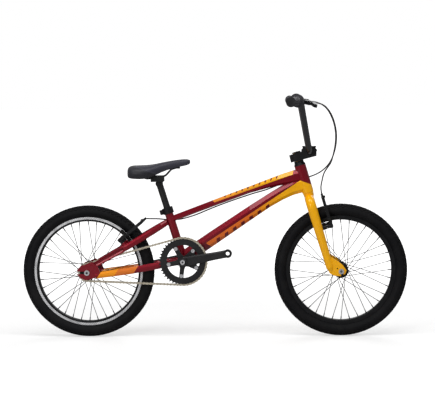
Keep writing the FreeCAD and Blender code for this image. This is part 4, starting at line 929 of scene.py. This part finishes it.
# %% Saddle vinyl
seam_point = (-0.225, 0.6225)
seam_slope = -20
skirt_blue = (0.012, 0.012, 0.017)
top_blue = (0.023, 0.023, 0.036)
stitch_blue = (0.05, 0.05, 0.065)
vinyl = worn_finish("saddle_vinyl", (0.018, 0.018, 0.027), (0.035, 0.035, 0.045),
                    roughness=0.46, amount=0.35, cloud_scale=20, speckle_scale=1300, bump=0.15,
                    specular=0.35)
above_seam = edge(vinyl, seam_slope + 90, seam_point, 0.0010)
near_seam = math_node(vinyl.tree, "PINGPONG", edge(vinyl, seam_slope + 90, seam_point, 0.0034),
                      0.5)
groove = math_node(vinyl.tree, "MULTIPLY", near_seam, -2.0)
grain = vinyl.add("ShaderNodeTexVoronoi", Vector=vinyl.position, Scale=620.0)
pore = math_node(vinyl.tree, "MULTIPLY", grain.outputs["Distance"], 0.6)
stitch_row = bars(vinyl, seam_slope, seam_point, pitch=0.0042, width=0.0026, lean=0,
                  low=0.0022, high=0.0034)
vinyl_color = blend_colors(vinyl, above_seam, skirt_blue, top_blue)
vinyl_color = blend_colors(vinyl, stitch_row, vinyl_color, stitch_blue)
repaint(vinyl, vinyl_color)
skin_height = math_node(vinyl.tree, "ADD", pore, math_node(vinyl.tree, "ADD", groove, stitch_row))
vinyl.bump(skin_height, 0.4, 0.0006)
vinyl.shader.inputs["Sheen Weight"].default_value = 0.05
vinyl.shader.inputs["Sheen Roughness"].default_value = 0.5
give_finish(saddle, vinyl.material)
print("vinyl in two panels")

# %% [markdown]
# ## Grips
# The grips are soft rubber sleeves with a round flange inboard, close-set ribs for the hand and
# a domed end. They are turned shapes, so a stepped outline is spun about the Y axis and then
# laid along the bar. The bar's end sweeps back and dips a little, and the grip's start and
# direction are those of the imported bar.

# %% Grips
grip_low, grip_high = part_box("grips")
grip_grey = (0.040, 0.039, 0.045)
cap_black = (0.006, 0.006, 0.007)
cap_from = 0.3560
grip_start = (0.31688, 0.239, 0.88892)
bar_end_direction = (-0.20537, 0.97848, -0.01991)
grip_length = 0.126
grip_rubber = worn_finish("grip_rubber", (0.045, 0.045, 0.050), (0.07, 0.07, 0.075),
                          roughness=0.6, amount=0.4, cloud_scale=30, speckle_scale=1500,
                          bump=0.35, specular=0.25)
across = grip_rubber.add("ShaderNodeSeparateXYZ", Vector=grip_rubber.position)
outward = math_node(grip_rubber.tree, "ABSOLUTE", across.outputs["Y"])
cap_part = math_node(grip_rubber.tree, "GREATER_THAN", outward, cap_from)
repaint(grip_rubber, blend_colors(grip_rubber, cap_part, grip_grey, cap_black))


def grip_outline(length):
    """The grip's outline as (radius, along the bar): flange, ribs, then the domed end."""
    points = [(0.0113, 0.0), (0.0235, 0.0), (0.0240, 0.0008), (0.0240, 0.0028),
              (0.0235, 0.0035), (0.0170, 0.0040)]
    ribs, first_rib, rib_pitch = 21, 0.0065, 0.0054
    valley, crest = 0.0150, 0.0160
    for i in range(ribs):
        start = first_rib + i * rib_pitch
        points += [(valley, start), (crest, start + 0.0008), (crest, start + 0.0033),
                   (valley, start + 0.0041)]
    return points + [(0.0155, length - 0.0035), (0.0178, length - 0.0030),
                     (0.0180, length - 0.0010), (0.0170, length + 0.0008),
                     (0.0, length + 0.0010)]


def make_grip(name, side):
    mirror = Vector((1, side, 1))
    bm = bmesh.new()
    spin_profile(bm, grip_outline(grip_length), 40, closed=False)
    along_bar = Vector(bar_end_direction) * mirror
    lay_down = Vector((0, 1, 0)).rotation_difference(along_bar).to_matrix()
    bmesh.ops.rotate(bm, cent=(0, 0, 0), matrix=lay_down, verts=bm.verts)
    bmesh.ops.translate(bm, vec=Vector(grip_start) * mirror, verts=bm.verts)
    bmesh.ops.recalc_face_normals(bm, faces=bm.faces)
    grip = give_finish(mesh_object(name, bm, smooth=False), grip_rubber.material)
    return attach(grip, "fork")


right_grip = make_grip("grip_right", -1)
left_grip = make_grip("grip_left", 1)
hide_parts("grips")
print("grips reach", round(grip_low.y, 4), round(grip_high.y, 4))

# %% [markdown]
# ## Brake cables
# A brake cable is a steel wire in a black sheath with a fixed length, so it hangs in one long
# smooth bow. A row of control points and a NURBS curve give that. Each curve becomes a tube,
# and the rear one bends where it crosses from the steering parts to the frame.

# %% Brake cables
cable_radius = 0.0025
right_lever_points = [(0.36265, -0.18849, 0.88375), (0.36649, -0.17019, 0.88412)]
left_lever_points = [(x, -y, z) for x, y, z in right_lever_points]
rear_line = right_lever_points + [
    (0.404, -0.124, 0.8775), (0.425, -0.104, 0.8625), (0.442, -0.086, 0.8385),
    (0.455, -0.070, 0.804), (0.462, -0.055, 0.765), (0.461, -0.039, 0.726),
    (0.453, -0.022, 0.688), (0.440, -0.004, 0.657), (0.421, 0.014, 0.632),
    (0.396, 0.027, 0.613), (0.364, 0.032, 0.600), (0.330, 0.031, 0.592),
    (0.297, 0.028, 0.585), (0.262, 0.026, 0.576), (0.226, 0.023, 0.563),
    (0.192, 0.012, 0.5510), (0.154, 0.004, 0.5420), (0.110, 0, 0.5280), (0.064, 0, 0.5125),
    (0.018, 0, 0.4960), (-0.026, 0, 0.4785), (-0.064, 0.001, 0.4625), (-0.096, 0.005, 0.452),
    (-0.124, 0.016, 0.444), (-0.150, 0.0245, 0.441), (-0.178, 0.028, 0.4405),
    (-0.2027, 0.0385, 0.4430), (-0.2217, 0.0488, 0.4430)]
front_line = left_lever_points + [
    (0.404, 0.124, 0.8775), (0.426, 0.106, 0.862), (0.443, 0.092, 0.838),
    (0.457, 0.080, 0.803), (0.464, 0.070, 0.763), (0.462, 0.061, 0.722),
    (0.454, 0.054, 0.684), (0.445, 0.050, 0.652), (0.430, 0.0475, 0.632),
    (0.4158, 0.0493, 0.6112), (0.4121, 0.0529, 0.5924)]


def cable_tube(name, line, radius):
    """A smooth tube along a NURBS curve with these control points."""
    data = bpy.data.curves.new(name, "CURVE")
    data.dimensions = "3D"
    spline = data.splines.new("NURBS")
    spline.points.add(len(line) - 1)
    for point, place in zip(spline.points, line):
        point.co = (*place, 1)
    spline.order_u = 3
    spline.use_endpoint_u = True
    data.resolution_u = 6
    data.bevel_depth = radius
    data.bevel_resolution = 3
    data.use_fill_caps = True
    curve = bpy.data.objects.new(name + "_line", data)
    bpy.context.collection.objects.link(curve)
    bpy.context.view_layer.update()
    curve_now = curve.evaluated_get(bpy.context.evaluated_depsgraph_get())
    mesh = bpy.data.meshes.new_from_object(curve_now)
    bpy.data.objects.remove(curve)
    tube = bpy.data.objects.new(name, mesh)
    bpy.context.collection.objects.link(tube)
    mesh.shade_smooth()
    return tube


sheath = worn_finish("cable_sheath", (0.010, 0.010, 0.011), (0.025, 0.025, 0.028),
                     roughness=0.36, coat=0.1, amount=0.4, cloud_scale=30, speckle_scale=1800,
                     bump=0.08, specular=0.35)
rear_cable = give_finish(cable_tube("rear_cable_sheath", rear_line, cable_radius),
                         sheath.material)
front_cable = give_finish(cable_tube("front_cable_sheath", front_line, cable_radius),
                          sheath.material)
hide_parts("rear_brake_cable")
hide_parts("front_brake_cable")
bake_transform(rear_cable)
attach(front_cable, "fork")
print("cable faces", len(rear_cable.data.polygons), len(front_cable.data.polygons))
